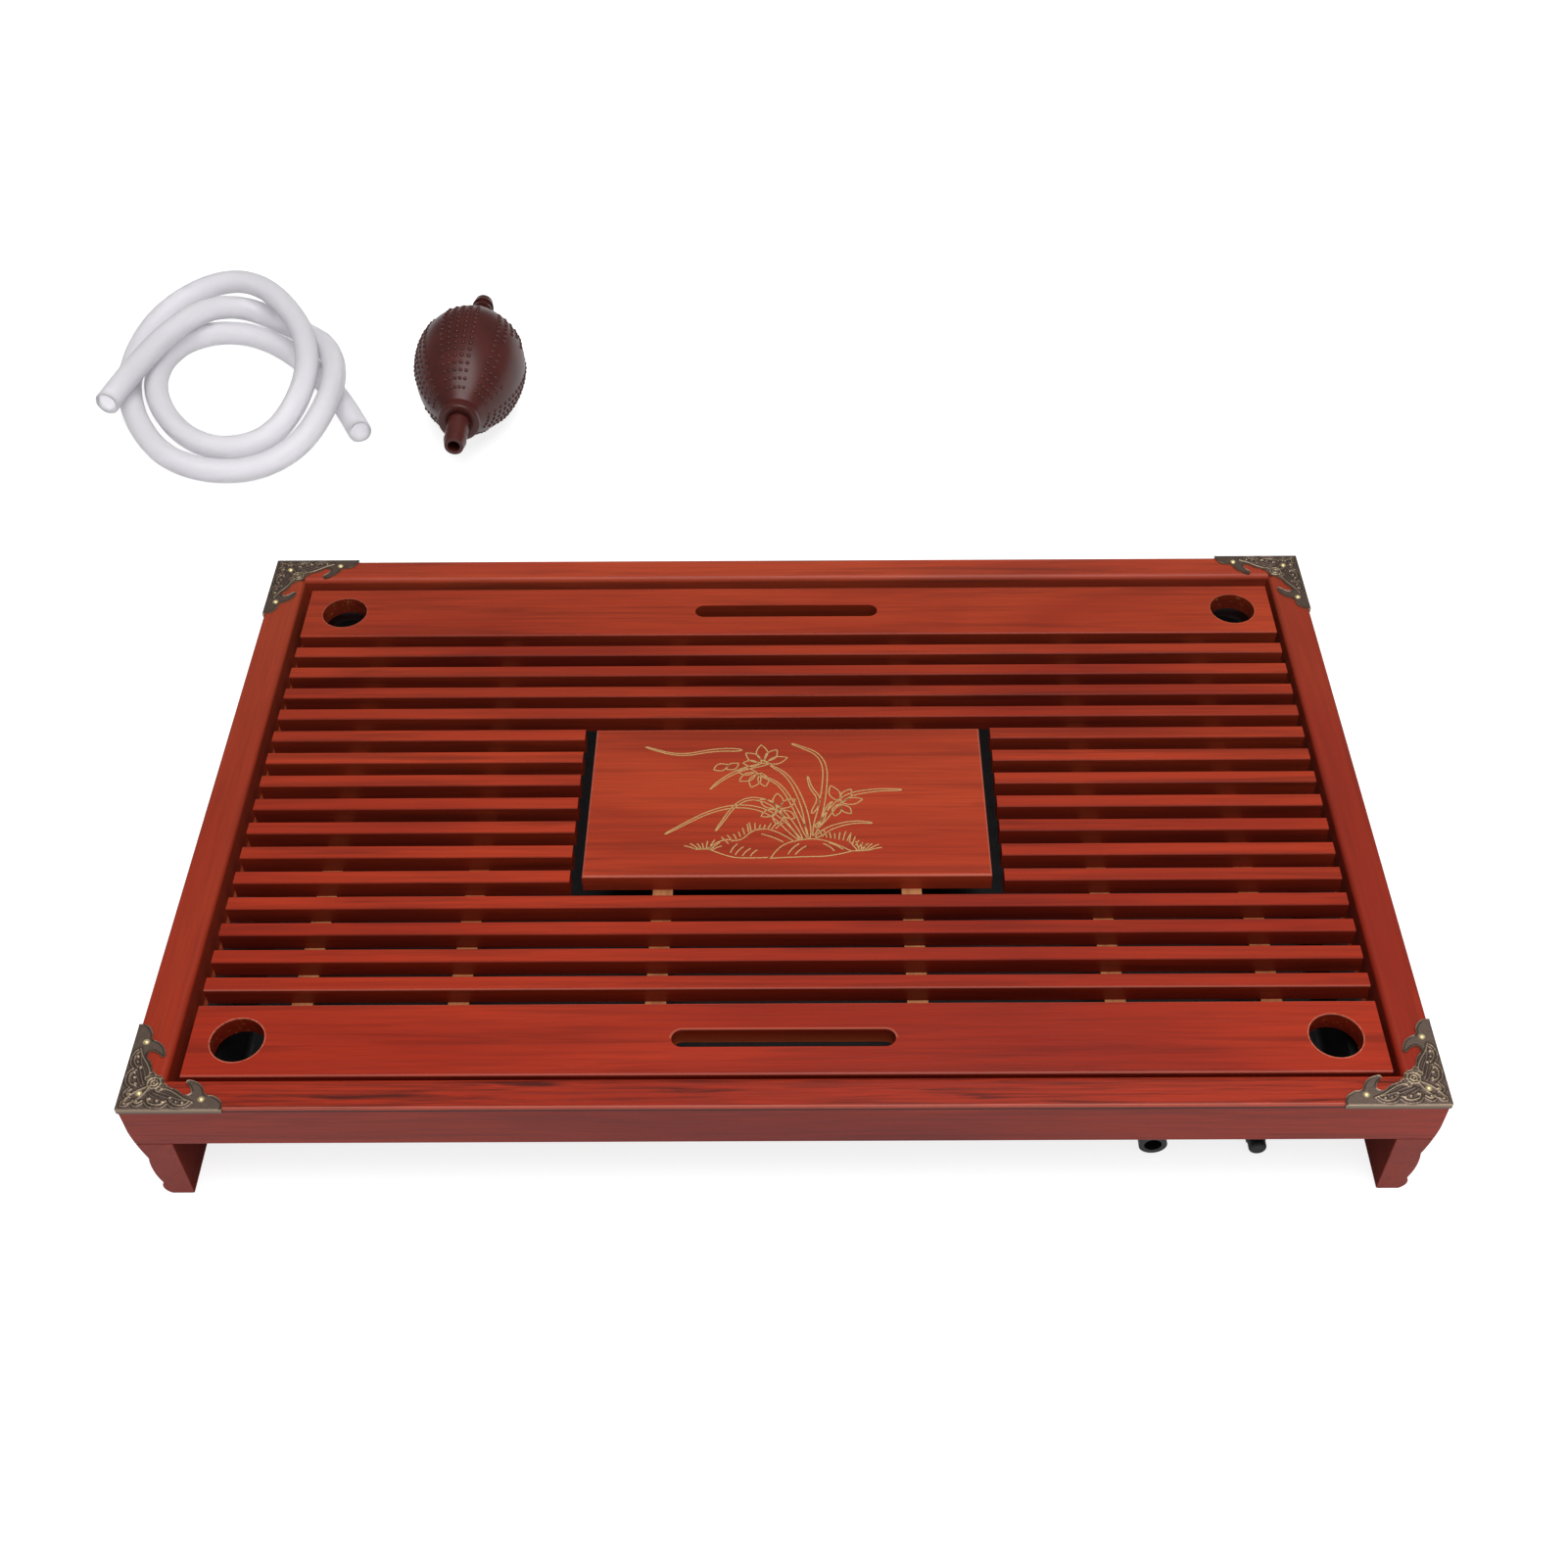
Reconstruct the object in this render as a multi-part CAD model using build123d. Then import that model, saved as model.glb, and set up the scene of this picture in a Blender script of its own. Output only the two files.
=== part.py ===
from build123d import *
from math import cos, pi, sin, sqrt
import os

os.makedirs("parts", exist_ok=True)

# Sizes in millimetres. X runs along the tray, -Y is its front, the feet stand on Z = 0.
frame_length = 598.4
frame_depth = 388.4
frame_height = 69.5
end_thickness = 18.2
rail_thickness = 16.8
apron_height = 28.0
outer_edge_radius = 1.2
inner_edge_radius = 3.0
lower_edge_radius = 0.8
cut_overrun = 2.0

# Outer face of an end board, read downwards: a plain band, a long lobe, a bead and a foot.
profile_reach = 7.5
profile_top = 51.5
lobe_inset_share = 0.51
lobe_height_share = 0.58
lobe_bulge_inset_share = 0.18
lobe_bulge_height_share = 0.79
bead_inset_share = 0.70
bead_height_share = 0.175
bead_bulge_inset_share = 0.43
bead_bulge_height_share = 0.38
foot_bulge_inset_share = 0.60
foot_bulge_height_share = 0.07
foot_inner_radius = 1.5

# Arch under each end board, which leaves a foot at the front and at the back.
foot_length = 58.0
arch_height = 24.0
arch_shoulder = 16.0

# Corner mounts of thin brass, folded over the two outer edges.
bracket_leg = 48.0
bracket_thickness = 0.8
bracket_lip = 2.2
bracket_corner_radius = 0.8
bracket_arc_shares = (
    ((0.985, 0.090), (0.880, 0.163)),
    ((0.843, 0.166), (0.808, 0.190)),
    ((0.750, 0.288), (0.638, 0.340)),
    ((0.612, 0.326), (0.618, 0.298)),
    ((0.664, 0.248), (0.683, 0.196)),
    ((0.650, 0.168), (0.595, 0.183)),
    ((0.548, 0.222), (0.495, 0.245)),
    ((0.462, 0.256), (0.436, 0.285)),
    ((0.405, 0.308), (0.392, 0.338)),
    ((0.384, 0.362), (0.367, 0.367)),
)

# Round-headed nails of the corner mounts, placed from the outer corner.
nail_head_radius = 1.6
nail_head_height = 0.9
nail_shank_radius = 0.6
nail_length = 9.0
nail_corner_share = 0.19
nail_along_share = 0.79
nail_across_share = 0.12

# Lift-out deck: two wide boards, fifteen rows of slats and a plate in the middle. Its gaps are the
# room that the frame leaves round it.
deck_gap_left = 6.2
deck_gap_right = 3.8
deck_gap_front = 1.25
deck_gap_back = 9.05
deck_thickness = 10.0
board_width = 41.0
slat_width = 8.2
full_rows = 4
short_rows = 7
deck_edge_chamfer = 0.6
board_edge_radius = 1.0
finger_hole_radius = 12.5
finger_hole_inset = 22.0
slot_length = 104.0
slot_width = 10.0
plate_length = 205.0
plate_back_inset = 0.6
plate_front_inset = 3.2
plate_side_gap = 5.9
plate_edge_radius = 1.2
batten_width = 10.0
batten_height = 8.0
batten_end_inset = 4.0
plate_batten_inset = 40.0
outer_batten_inset = 45.0
middle_batten_share = 0.558

# Countersunk wood screws that hold the battens and the cleats.
screw_head_radius = 3.0
screw_head_height = 2.2
screw_shank_radius = 1.5
screw_tip_height = 2.5
deck_screw_length = 15.0
plate_screw_inset = 20.5
cleat_screw_length = 18.0
cleat_screw_inset = 42.0
side_cleat_screws = 3
front_cleat_screws = 3
back_cleat_screws = 4

# Cleats glued and screwed inside the frame, on which the water pan hangs.
cleat_width = 10.0
cleat_height = 8.0
cleat_outlet_gap = 26.0

# Water pan: a moulded basin with a flange round its rim.
pan_rim_gap_x = 2.8
pan_rim_gap_y = 2.9
pan_rim_thickness = 2.0
pan_rim_corner = 6.0
pan_wall = 2.0
pan_basin_gap = 2.8
pan_basin_corner = 14.0
pan_floor_radius = 5.0
pan_taper = 4.0

# Outlet elbows below the pan floor: the open drain and the stopped spare outlet.
fitting_front_gap = 0.8
outlet_collar_reach = 3.4
outlet_collar_height = 1.8
outlet_seal_thickness = 1.5
outlet_nut_height = 4.5
outlet_nut_reach = 4.2
outlet_thread_rise = 1.5
outlet_neck = 0.3
drain_inset = 105.0
drain_radius = 6.8
drain_bore_radius = 4.2
drain_ground_gap = 4.1
drain_bend = 7.0
drain_straight = 26.0
spare_inset = 54.0
spare_radius = 4.9
spare_bore_radius = 3.0
spare_ground_gap = 1.5
spare_bend = 5.5
spare_straight = 19.0
plug_head_radius = 4.3
plug_head_length = 6.0
plug_stem_length = 7.0
plug_clearance = 0.05
plug_edge_radius = 1.6

# Suction bulb for the hose, lying on the floor behind the tray.
bulb_radius = 37.5
bulb_body_length = 106.5
bulb_widest_share = 0.44
bulb_shoulder_radius = 14.0
bulb_collar_radius = 13.9
bulb_collar_length = 8.8
bulb_place = (-221.0, 443.0)
nipple_radius = 7.6
nipple_root_radius = 6.3
nipple_bore_radius = 4.1
nipple_length = 26.3
nipple_stem_length = 14.0
nipple_barbs = 4

# Soft drain hose, coiled loosely on the floor. Each station of its middle line has its place from the
# coil's centre, across and along in tube widths, its heading in turns, its layer (0 on the floor, 1 on
# top) and its climb in turns. The spread widens the coil, leans it and deepens it.
hose_radius = 8.2
hose_bore_radius = 6.5
hose_layer_gap = 1.0
hose_place = (-399.0, 480.0)
hose_end_straight = 16.0
hose_measure_step = 2.0
hose_straight_degrees = 1.0
hose_spread_shares = (1.03, -0.34, 1.7)
hose_station_shares = (
    (-4.6, -1.45, 0.167, 1.0, 0.0), (-2.9, 0.85, 0.133, 1.0, 0.0), (-1.0, 2.25, 0.075, 1.0, 0.0),
    (1.9, 2.75, -0.061, 0.0, 0.0), (2.9, 2.2, -0.122, 0.0, 0.0), (4.45, -0.85, -0.258, 1.0, 0.0),
    (3.1, -2.85, -0.375, 0.45, -0.02), (0.0, -3.98, -0.5, 0.0, 0.0), (-3.0, -3.0, -0.625, 0.0, 0.0),
    (-4.4, 0.0, -0.75, 0.0, 0.0), (-3.0, 2.9, -0.875, 0.0, 0.0), (-0.9, 3.65, -0.978, 0.45, 0.04),
    (1.2, 3.15, -1.083, 1.35, 0.02), (2.6, 1.75, -1.158, 1.5, 0.0), (3.4, -0.1, -1.242, 1.25, -0.03),
    (2.4, -1.95, -1.375, 0.45, -0.03), (0.0, -3.0, -1.5, 0.0, 0.0), (-2.45, -1.9, -1.625, 0.0, 0.0),
    (-3.3, 0.0, -1.75, 0.0, 0.0), (-1.9, 1.65, -1.889, 0.0, 0.0), (0.0, 2.1, -2.0, 0.0, 0.0),
    (2.2, 1.3, -2.1, 0.0, 0.0), (4.0, -0.3, -2.135, 0.0, 0.0), (5.0, -1.9, -2.18, 0.0, 0.0),
)

half_length = frame_length / 2
half_depth = frame_depth / 2
inner_half_length = half_length - end_thickness
inner_half_depth = half_depth - rail_thickness
apron_bottom = frame_height - apron_height
deck_top = frame_height
deck_bottom = deck_top - deck_thickness
batten_bottom = deck_bottom - batten_height
cleat_top = batten_bottom - pan_rim_thickness
cleat_bottom = cleat_top - cleat_height

drain_place = inner_half_length - drain_inset
spare_place = inner_half_length - spare_inset
drain_centre_height = drain_ground_gap + drain_radius
spare_centre_height = spare_ground_gap + spare_radius
collar_bottom = drain_centre_height + drain_bend + outlet_neck
seal_bottom = collar_bottom + outlet_collar_height
pan_bottom = seal_bottom + outlet_seal_thickness
pan_depth = batten_bottom - pan_bottom


def save(name, solid):
    solid.label = name
    export_step(solid, f"parts/{name}.step")


def block(length, depth, height, x=0.0, y=0.0, z=0.0):
    """A box centred on x and y, standing on z."""
    return Pos(x, y, z) * Box(length, depth, height, align=(Align.CENTER, Align.CENTER, Align.MIN))


def group(solids):
    return Compound(children=list(solids))


def corner_near(section, across, up):
    """The corner of a sketch that lies nearest a point of its own plane."""
    return section.vertices().sort_by_distance((across, up, 0))[0]


def end_face(side):
    """Edges of an end board's outer face, from its top corner down to the foot; side is -1 or +1."""
    def at(inset, height):
        return (side * (half_length - inset), height)

    lobe_end = at(profile_reach * lobe_inset_share, profile_top * lobe_height_share)
    lobe_mid = at(profile_reach * lobe_bulge_inset_share, profile_top * lobe_bulge_height_share)
    bead_end = at(profile_reach * bead_inset_share, profile_top * bead_height_share)
    bead_mid = at(profile_reach * bead_bulge_inset_share, profile_top * bead_bulge_height_share)
    foot_mid = at(profile_reach * foot_bulge_inset_share, profile_top * foot_bulge_height_share)
    return [
        Line(at(0, frame_height), at(0, profile_top)),
        ThreePointArc(at(0, profile_top), lobe_mid, lobe_end),
        ThreePointArc(lobe_end, bead_mid, bead_end),
        ThreePointArc(bead_end, foot_mid, at(profile_reach, 0)),
    ]


def end_outline(side):
    """Section of an end board across the tray, with its three eased corners."""
    inner = side * inner_half_length
    with BuildSketch(Plane.XZ) as section:
        with BuildLine():
            end_face(side)
            Polyline((side * (half_length - profile_reach), 0), (inner, 0), (inner, frame_height),
                     (side * half_length, frame_height))
        make_face()
        fillet(corner_near(section, side * half_length, frame_height), outer_edge_radius)
        fillet(corner_near(section, inner, frame_height), inner_edge_radius)
        fillet(corner_near(section, inner, 0), foot_inner_radius)
    return section.sketch


def arch():
    """The opening under an end board, between its two feet."""
    half_span = half_depth - foot_length
    with BuildSketch(Plane.YZ) as opening:
        with BuildLine():
            Line((-half_span, -cut_overrun), (-half_span, arch_height - arch_shoulder))
            RadiusArc((-half_span, arch_height - arch_shoulder),
                      (-half_span + arch_shoulder, arch_height), arch_shoulder)
            Line((-half_span + arch_shoulder, arch_height), (half_span - arch_shoulder, arch_height))
            RadiusArc((half_span - arch_shoulder, arch_height),
                      (half_span, arch_height - arch_shoulder), arch_shoulder)
            Line((half_span, arch_height - arch_shoulder), (half_span, -cut_overrun))
            Line((half_span, -cut_overrun), (-half_span, -cut_overrun))
        make_face()
    return extrude(opening.sketch, amount=half_length + cut_overrun, both=True)


def mitre_block(side):
    """The room of the front (-1) or back (+1) rail in plan, with mitred ends."""
    corners = [
        (-half_length, side * half_depth), (half_length, side * half_depth),
        (inner_half_length, side * inner_half_depth), (-inner_half_length, side * inner_half_depth),
    ]
    plan = make_face(Polyline(*corners, close=True))
    return Pos(0, 0, apron_bottom) * extrude(plan, amount=apron_height)


def end_envelope():
    """The room between the outer faces of the two end boards, over the whole depth."""
    with BuildSketch(Plane.XZ) as section:
        with BuildLine():
            end_face(-1)
            end_face(1)
            Line((-half_length, frame_height), (half_length, frame_height))
            Line((profile_reach - half_length, 0), (half_length - profile_reach, 0))
        make_face()
        for side in (-1, 1):
            fillet(corner_near(section, side * half_length, frame_height), outer_edge_radius)
    return extrude(section.sketch, amount=half_depth, both=True)


def rail(side, envelope):
    """Front (-1) or back (+1) rail with its apron, mitred over the legs."""
    with BuildSketch(Plane.YZ) as section:
        with Locations((side * (half_depth - rail_thickness / 2), apron_bottom + apron_height / 2)):
            Rectangle(rail_thickness, apron_height)
        fillet(corner_near(section, side * half_depth, frame_height), outer_edge_radius)
        fillet(corner_near(section, side * inner_half_depth, frame_height), inner_edge_radius)
        fillet(section.vertices().group_by(Axis.Y)[0], lower_edge_radius)
    bar = extrude(section.sketch, amount=half_length, both=True)
    return bar & mitre_block(side) & envelope


def end_board(side):
    board = extrude(end_outline(side), amount=half_depth, both=True)
    return board - mitre_block(-1) - mitre_block(1) - arch()


def bracket_outline():
    """Corner mount in plan, from its outer corner at 0,0 with legs along +X and +Y."""
    def at(point, swap):
        along, across = point
        return (across * bracket_leg, along * bracket_leg) if swap else (along * bracket_leg, across * bracket_leg)

    edges = []
    for swap in (False, True):
        start = (1.0, 0.0)
        for middle, end in bracket_arc_shares:
            edges.append(ThreePointArc(at(start, swap), at(middle, swap), at(end, swap)))
            start = end
    edges.append(Line((0, 0), (bracket_leg, 0)))
    edges.append(Line((0, 0), (0, bracket_leg)))
    return make_face(edges)


def bracket():
    """One corner mount: a cut plate with two narrow folded lips."""
    plate = extrude(bracket_outline(), amount=bracket_thickness)
    lip_along_x = Pos(bracket_leg / 2, bracket_thickness / 2, -bracket_lip) * Box(
        bracket_leg, bracket_thickness, bracket_lip, align=(Align.CENTER, Align.CENTER, Align.MIN))
    lip_along_y = Pos(bracket_thickness / 2, bracket_leg / 2, -bracket_lip) * Box(
        bracket_thickness, bracket_leg, bracket_lip, align=(Align.CENTER, Align.CENTER, Align.MIN))
    mount = plate + lip_along_x + lip_along_y
    upright = mount.edges().filter_by(Axis.Z).sort_by_distance((0, 0, 0))[0]
    return fillet(upright, bracket_corner_radius)


def nail():
    """A round-headed nail, head down to tip along -Z from the plate's top face."""
    cap_radius = (nail_head_radius ** 2 + nail_head_height ** 2) / (2 * nail_head_height)
    with BuildSketch(Plane.XZ) as section:
        with BuildLine():
            Line((0, -nail_length), (nail_shank_radius, -nail_length + nail_shank_radius))
            Line((nail_shank_radius, -nail_length + nail_shank_radius), (nail_shank_radius, 0))
            Line((nail_shank_radius, 0), (nail_head_radius, 0))
            RadiusArc((nail_head_radius, 0), (0, nail_head_height), -cap_radius)
            Line((0, nail_head_height), (0, -nail_length))
        make_face()
    return revolve(section.sketch, Axis.Z)


def nail_places():
    corner = nail_corner_share * bracket_leg
    along = nail_along_share * bracket_leg
    across = nail_across_share * bracket_leg
    return [(corner, corner), (along, across), (across, along)]


def screw(length):
    """A countersunk screw with its head face on Z = 0 and its tip along +Z."""
    with BuildSketch(Plane.XZ) as section:
        with BuildLine():
            Polyline(
                (0, 0), (screw_head_radius, 0), (screw_shank_radius, screw_head_height),
                (screw_shank_radius, length - screw_tip_height), (0, length), (0, 0),
            )
        make_face()
    return revolve(section.sketch, Axis.Z)


def corner_location(side_x, side_y):
    """Placement of a corner mount drawn at the front left corner."""
    turn = {(-1, -1): 0, (1, -1): 90, (1, 1): 180, (-1, 1): 270}[(side_x, side_y)]
    reach_x = half_length + bracket_thickness
    reach_y = half_depth + bracket_thickness
    return Pos(side_x * reach_x, side_y * reach_y, frame_height) * Rot(0, 0, turn)


corner_names = {
    (-1, -1): "corner_mount_front_left", (1, -1): "corner_mount_front_right",
    (-1, 1): "corner_mount_back_left", (1, 1): "corner_mount_back_right",
}

one_nail = nail()
nails = [
    corner_location(*corner) * Pos(x, y, bracket_thickness) * one_nail
    for corner in corner_names for x, y in nail_places()
]
one_bracket = bracket()
for corner, name in corner_names.items():
    near = [item for item in nails if (item.center().X * corner[0] > 0 and item.center().Y * corner[1] > 0)]
    save(name, corner_location(*corner) * one_bracket - near)
save("corner_mount_nails", group(nails))

front_cleat_stop = drain_place - cleat_outlet_gap
cleat_screw_height = cleat_bottom + cleat_height / 2
side_cleat_length = 2 * (inner_half_depth - cleat_width)
front_cleat_length = front_cleat_stop + inner_half_length


def spaced(start, end, count):
    """Even places from start to end, both kept."""
    return [start + (end - start) * step / (count - 1) for step in range(count)]


def cleat_screws():
    """Screws through the four cleats, each driven outwards into its rail."""
    one = screw(cleat_screw_length)
    placed = []
    face_x = inner_half_length - cleat_width
    face_y = inner_half_depth - cleat_width
    side_reach = side_cleat_length / 2 - cleat_screw_inset
    for y in spaced(-side_reach, side_reach, side_cleat_screws):
        placed.append(Pos(face_x, y, cleat_screw_height) * Rot(0, 90, 0) * one)
        placed.append(Pos(-face_x, y, cleat_screw_height) * Rot(0, -90, 0) * one)
    back_reach = inner_half_length - cleat_screw_inset
    for x in spaced(-back_reach, back_reach, back_cleat_screws):
        placed.append(Pos(x, face_y, cleat_screw_height) * Rot(-90, 0, 0) * one)
    for x in spaced(-back_reach, front_cleat_stop - cleat_screw_inset, front_cleat_screws):
        placed.append(Pos(x, -face_y, cleat_screw_height) * Rot(90, 0, 0) * one)
    return placed


frame_screws = cleat_screws()
envelope = end_envelope()
frame_cuts = nails + frame_screws
save("front_rail", rail(-1, envelope) - frame_cuts)
save("back_rail", rail(1, envelope) - frame_cuts)
save("left_end_board", end_board(-1) - frame_cuts)
save("right_end_board", end_board(1) - frame_cuts)

side_cleat_x = inner_half_length - cleat_width / 2
end_cleat_y = inner_half_depth - cleat_width / 2
front_cleat_x = (front_cleat_stop - inner_half_length) / 2
save("left_cleat", block(cleat_width, side_cleat_length, cleat_height, -side_cleat_x, 0, cleat_bottom)
     - frame_screws)
save("right_cleat", block(cleat_width, side_cleat_length, cleat_height, side_cleat_x, 0, cleat_bottom)
     - frame_screws)
save("back_cleat", block(2 * inner_half_length, cleat_width, cleat_height, 0, end_cleat_y, cleat_bottom)
     - frame_screws)
save("front_cleat", block(front_cleat_length, cleat_width, cleat_height, front_cleat_x, -end_cleat_y,
                          cleat_bottom) - frame_screws)
save("cleat_screws", group(frame_screws))

# Deck rows, from the back edge of the front board to the front edge of the back board.
deck_left = deck_gap_left - inner_half_length
deck_right = inner_half_length - deck_gap_right
deck_front = deck_gap_front - inner_half_depth
deck_back = inner_half_depth - deck_gap_back
deck_length = deck_right - deck_left
deck_width = deck_back - deck_front
deck_shift_x = (deck_left + deck_right) / 2
deck_shift_y = (deck_front + deck_back) / 2
row_count = 2 * full_rows + short_rows
row_gap = (deck_width - 2 * board_width - row_count * slat_width) / (row_count + 1)
row_pitch = row_gap + slat_width
batten_length = deck_width - 2 * batten_end_inset
plate_batten = plate_length / 2 - plate_batten_inset
outer_batten = deck_length / 2 - outer_batten_inset
middle_batten = plate_batten + middle_batten_share * (outer_batten - plate_batten)
batten_rows = [deck_shift_x + side * place
               for place in (plate_batten, middle_batten, outer_batten) for side in (-1, 1)]


def row_centre(row):
    """Y of the middle of a slat row, row 0 nearest the front."""
    return deck_front + board_width + row_gap + slat_width / 2 + row * row_pitch


plate_front = row_centre(full_rows) - slat_width / 2 + plate_front_inset
plate_back = row_centre(full_rows + short_rows) - row_gap - slat_width / 2 - plate_back_inset
plate_centre = (plate_front + plate_back) / 2
plate_width = plate_back - plate_front
short_length = deck_length / 2 - plate_length / 2 - plate_side_gap


def slat(length, x, y):
    """A plain slat with its two long top edges eased."""
    bar = block(length, slat_width, deck_thickness, x, y, deck_bottom)
    top_edges = bar.faces().sort_by(Axis.Z)[-1].edges().filter_by(Axis.X)
    return chamfer(top_edges, deck_edge_chamfer)


def deck_screws():
    """Screws up through the battens into the two boards and the plate."""
    one = screw(deck_screw_length)
    board_rows = (deck_front + board_width / 2, deck_back - board_width / 2)
    placed = [Pos(x, y, batten_bottom) * one for x in batten_rows for y in board_rows]
    for side in (-1, 1):
        for y in (plate_front + plate_screw_inset, plate_back - plate_screw_inset):
            placed.append(Pos(deck_shift_x + side * plate_batten, y, batten_bottom) * one)
    return placed


board_screws = deck_screws()


def deck_board(y):
    """A wide board with a finger hole near each end and a long slot in the middle."""
    board = block(deck_length, board_width, deck_thickness, deck_shift_x, y, deck_bottom)
    board = fillet(board.faces().sort_by(Axis.Z)[-1].edges().filter_by(Axis.X), board_edge_radius)
    reach = deck_length / 2 - finger_hole_inset
    for side in (-1, 1):
        hole = Cylinder(finger_hole_radius, deck_thickness + 2 * cut_overrun)
        board -= Pos(deck_shift_x + side * reach, y, deck_bottom + deck_thickness / 2) * hole
    slot = extrude(SlotOverall(slot_length, slot_width), amount=deck_thickness + 2 * cut_overrun)
    return board - Pos(0, y, deck_bottom - cut_overrun) * slot - board_screws


save("deck_front_board", deck_board(deck_front + board_width / 2))
save("deck_back_board", deck_board(deck_back - board_width / 2))
for row in range(full_rows):
    save(f"front_slat_{row + 1}", slat(deck_length, deck_shift_x, row_centre(row)))
    back_row = full_rows + short_rows + row
    save(f"back_slat_{row + 1}", slat(deck_length, deck_shift_x, row_centre(back_row)))
for row in range(short_rows):
    y = row_centre(full_rows + row)
    save(f"left_short_slat_{row + 1}", slat(short_length, deck_left + short_length / 2, y))
    save(f"right_short_slat_{row + 1}", slat(short_length, deck_right - short_length / 2, y))

plate = block(plate_length, plate_width, deck_thickness, deck_shift_x, plate_centre, deck_bottom)
plate = fillet(plate.faces().sort_by(Axis.Z)[-1].edges(), plate_edge_radius)
save("centre_plate", plate - board_screws)
for number, x in enumerate(sorted(batten_rows), start=1):
    batten = block(batten_width, batten_length, batten_height, x, deck_shift_y, batten_bottom)
    save(f"deck_batten_{number}", batten - board_screws)
save("deck_screws", group(board_screws))

# Water pan.
rim_half_length = inner_half_length - pan_rim_gap_x
rim_half_depth = inner_half_depth - pan_rim_gap_y
basin_half_length = inner_half_length - cleat_width - pan_basin_gap
basin_half_depth = inner_half_depth - cleat_width - pan_basin_gap


def basin(offset, bottom):
    """The basin's body, offset inwards from its outer face, from bottom up to the rim's top."""
    mouth = RectangleRounded(2 * (basin_half_length - offset), 2 * (basin_half_depth - offset),
                             pan_basin_corner - offset)
    body = extrude(Pos(0, 0, batten_bottom) * mouth, amount=-(batten_bottom - bottom), taper=pan_taper)
    return fillet(body.faces().sort_by(Axis.Z)[0].edges(), pan_floor_radius - offset)


def outlet_column(x, y, radius):
    """The room of an outlet's upright tube, through the pan floor and up into the basin."""
    return Pos(x, y, pan_bottom - cut_overrun) * Cylinder(
        radius, pan_depth, align=(Align.CENTER, Align.CENTER, Align.MIN))


mouth_y = fitting_front_gap - inner_half_depth
drain_y = mouth_y + drain_straight + drain_bend
spare_mouth_y = mouth_y + plug_head_length
spare_y = spare_mouth_y + spare_straight + spare_bend

rim = extrude(Pos(0, 0, cleat_top) * RectangleRounded(2 * rim_half_length, 2 * rim_half_depth, pan_rim_corner),
              amount=pan_rim_thickness)
pan = rim + basin(0, pan_bottom) - basin(pan_wall, pan_bottom + pan_wall)
pan -= outlet_column(drain_place, drain_y, drain_radius)
pan -= outlet_column(spare_place, spare_y, spare_radius)
save("water_pan", pan)

thread_top = pan_bottom + pan_wall + outlet_nut_height + outlet_thread_rise


def outlet(x, y, radius, bore, centre_height, bend, mouth):
    """A moulded elbow: down through the pan floor, round, and forwards to its mouth."""
    with BuildLine(Plane(origin=(x, 0, 0), x_dir=(0, 1, 0), z_dir=(1, 0, 0))) as path:
        Line((mouth, centre_height), (y - bend, centre_height))
        JernArc((y - bend, centre_height), (1, 0), bend, 90)
        Line((y, centre_height + bend), (y, thread_top))
    start = Plane(origin=(x, mouth, centre_height), z_dir=(0, 1, 0))
    outer = sweep(start * Circle(radius), path=path.wire())
    inner = sweep(start * Circle(bore), path=path.wire())
    collar = Pos(x, y, collar_bottom) * Cylinder(
        radius + outlet_collar_reach, outlet_collar_height, align=(Align.CENTER, Align.CENTER, Align.MIN))
    return outer + collar - inner


def ring(x, y, outer, inner, low, height):
    body = Pos(x, y, low) * Cylinder(outer, height, align=(Align.CENTER, Align.CENTER, Align.MIN))
    return body - Pos(x, y, low) * Cylinder(inner, height, align=(Align.CENTER, Align.CENTER, Align.MIN))


def nut(x, y, radius):
    hexagon = Pos(x, y, pan_bottom + pan_wall) * RegularPolygon(radius + outlet_nut_reach, 6)
    return extrude(hexagon, amount=outlet_nut_height) - outlet_column(x, y, radius)


save("drain_elbow", outlet(drain_place, drain_y, drain_radius, drain_bore_radius,
                           drain_centre_height, drain_bend, mouth_y))
save("spare_elbow", outlet(spare_place, spare_y, spare_radius, spare_bore_radius,
                           spare_centre_height, spare_bend, spare_mouth_y))
save("drain_seal", ring(drain_place, drain_y, drain_radius + outlet_collar_reach, drain_radius,
                        seal_bottom, outlet_seal_thickness))
save("spare_seal", ring(spare_place, spare_y, spare_radius + outlet_collar_reach, spare_radius,
                        seal_bottom, outlet_seal_thickness))
save("drain_nut", nut(drain_place, drain_y, drain_radius))
save("spare_nut", nut(spare_place, spare_y, spare_radius))


def outlet_plug():
    """A push-in plug with a rounded head, drawn out towards the front."""
    with BuildSketch() as section:
        with BuildLine():
            stem = spare_bore_radius - plug_clearance
            Polyline((0, plug_stem_length), (stem, plug_stem_length), (stem, 0), (plug_head_radius, 0),
                     (plug_head_radius, plug_edge_radius - plug_head_length))
            JernArc((plug_head_radius, plug_edge_radius - plug_head_length), (0, -1), plug_edge_radius, -90)
            Polyline((plug_head_radius - plug_edge_radius, -plug_head_length), (0, -plug_head_length),
                     (0, plug_stem_length))
        make_face()
    return Pos(spare_place, spare_mouth_y, spare_centre_height) * revolve(section.sketch, Axis.Y)


save("outlet_plug", outlet_plug())


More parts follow.
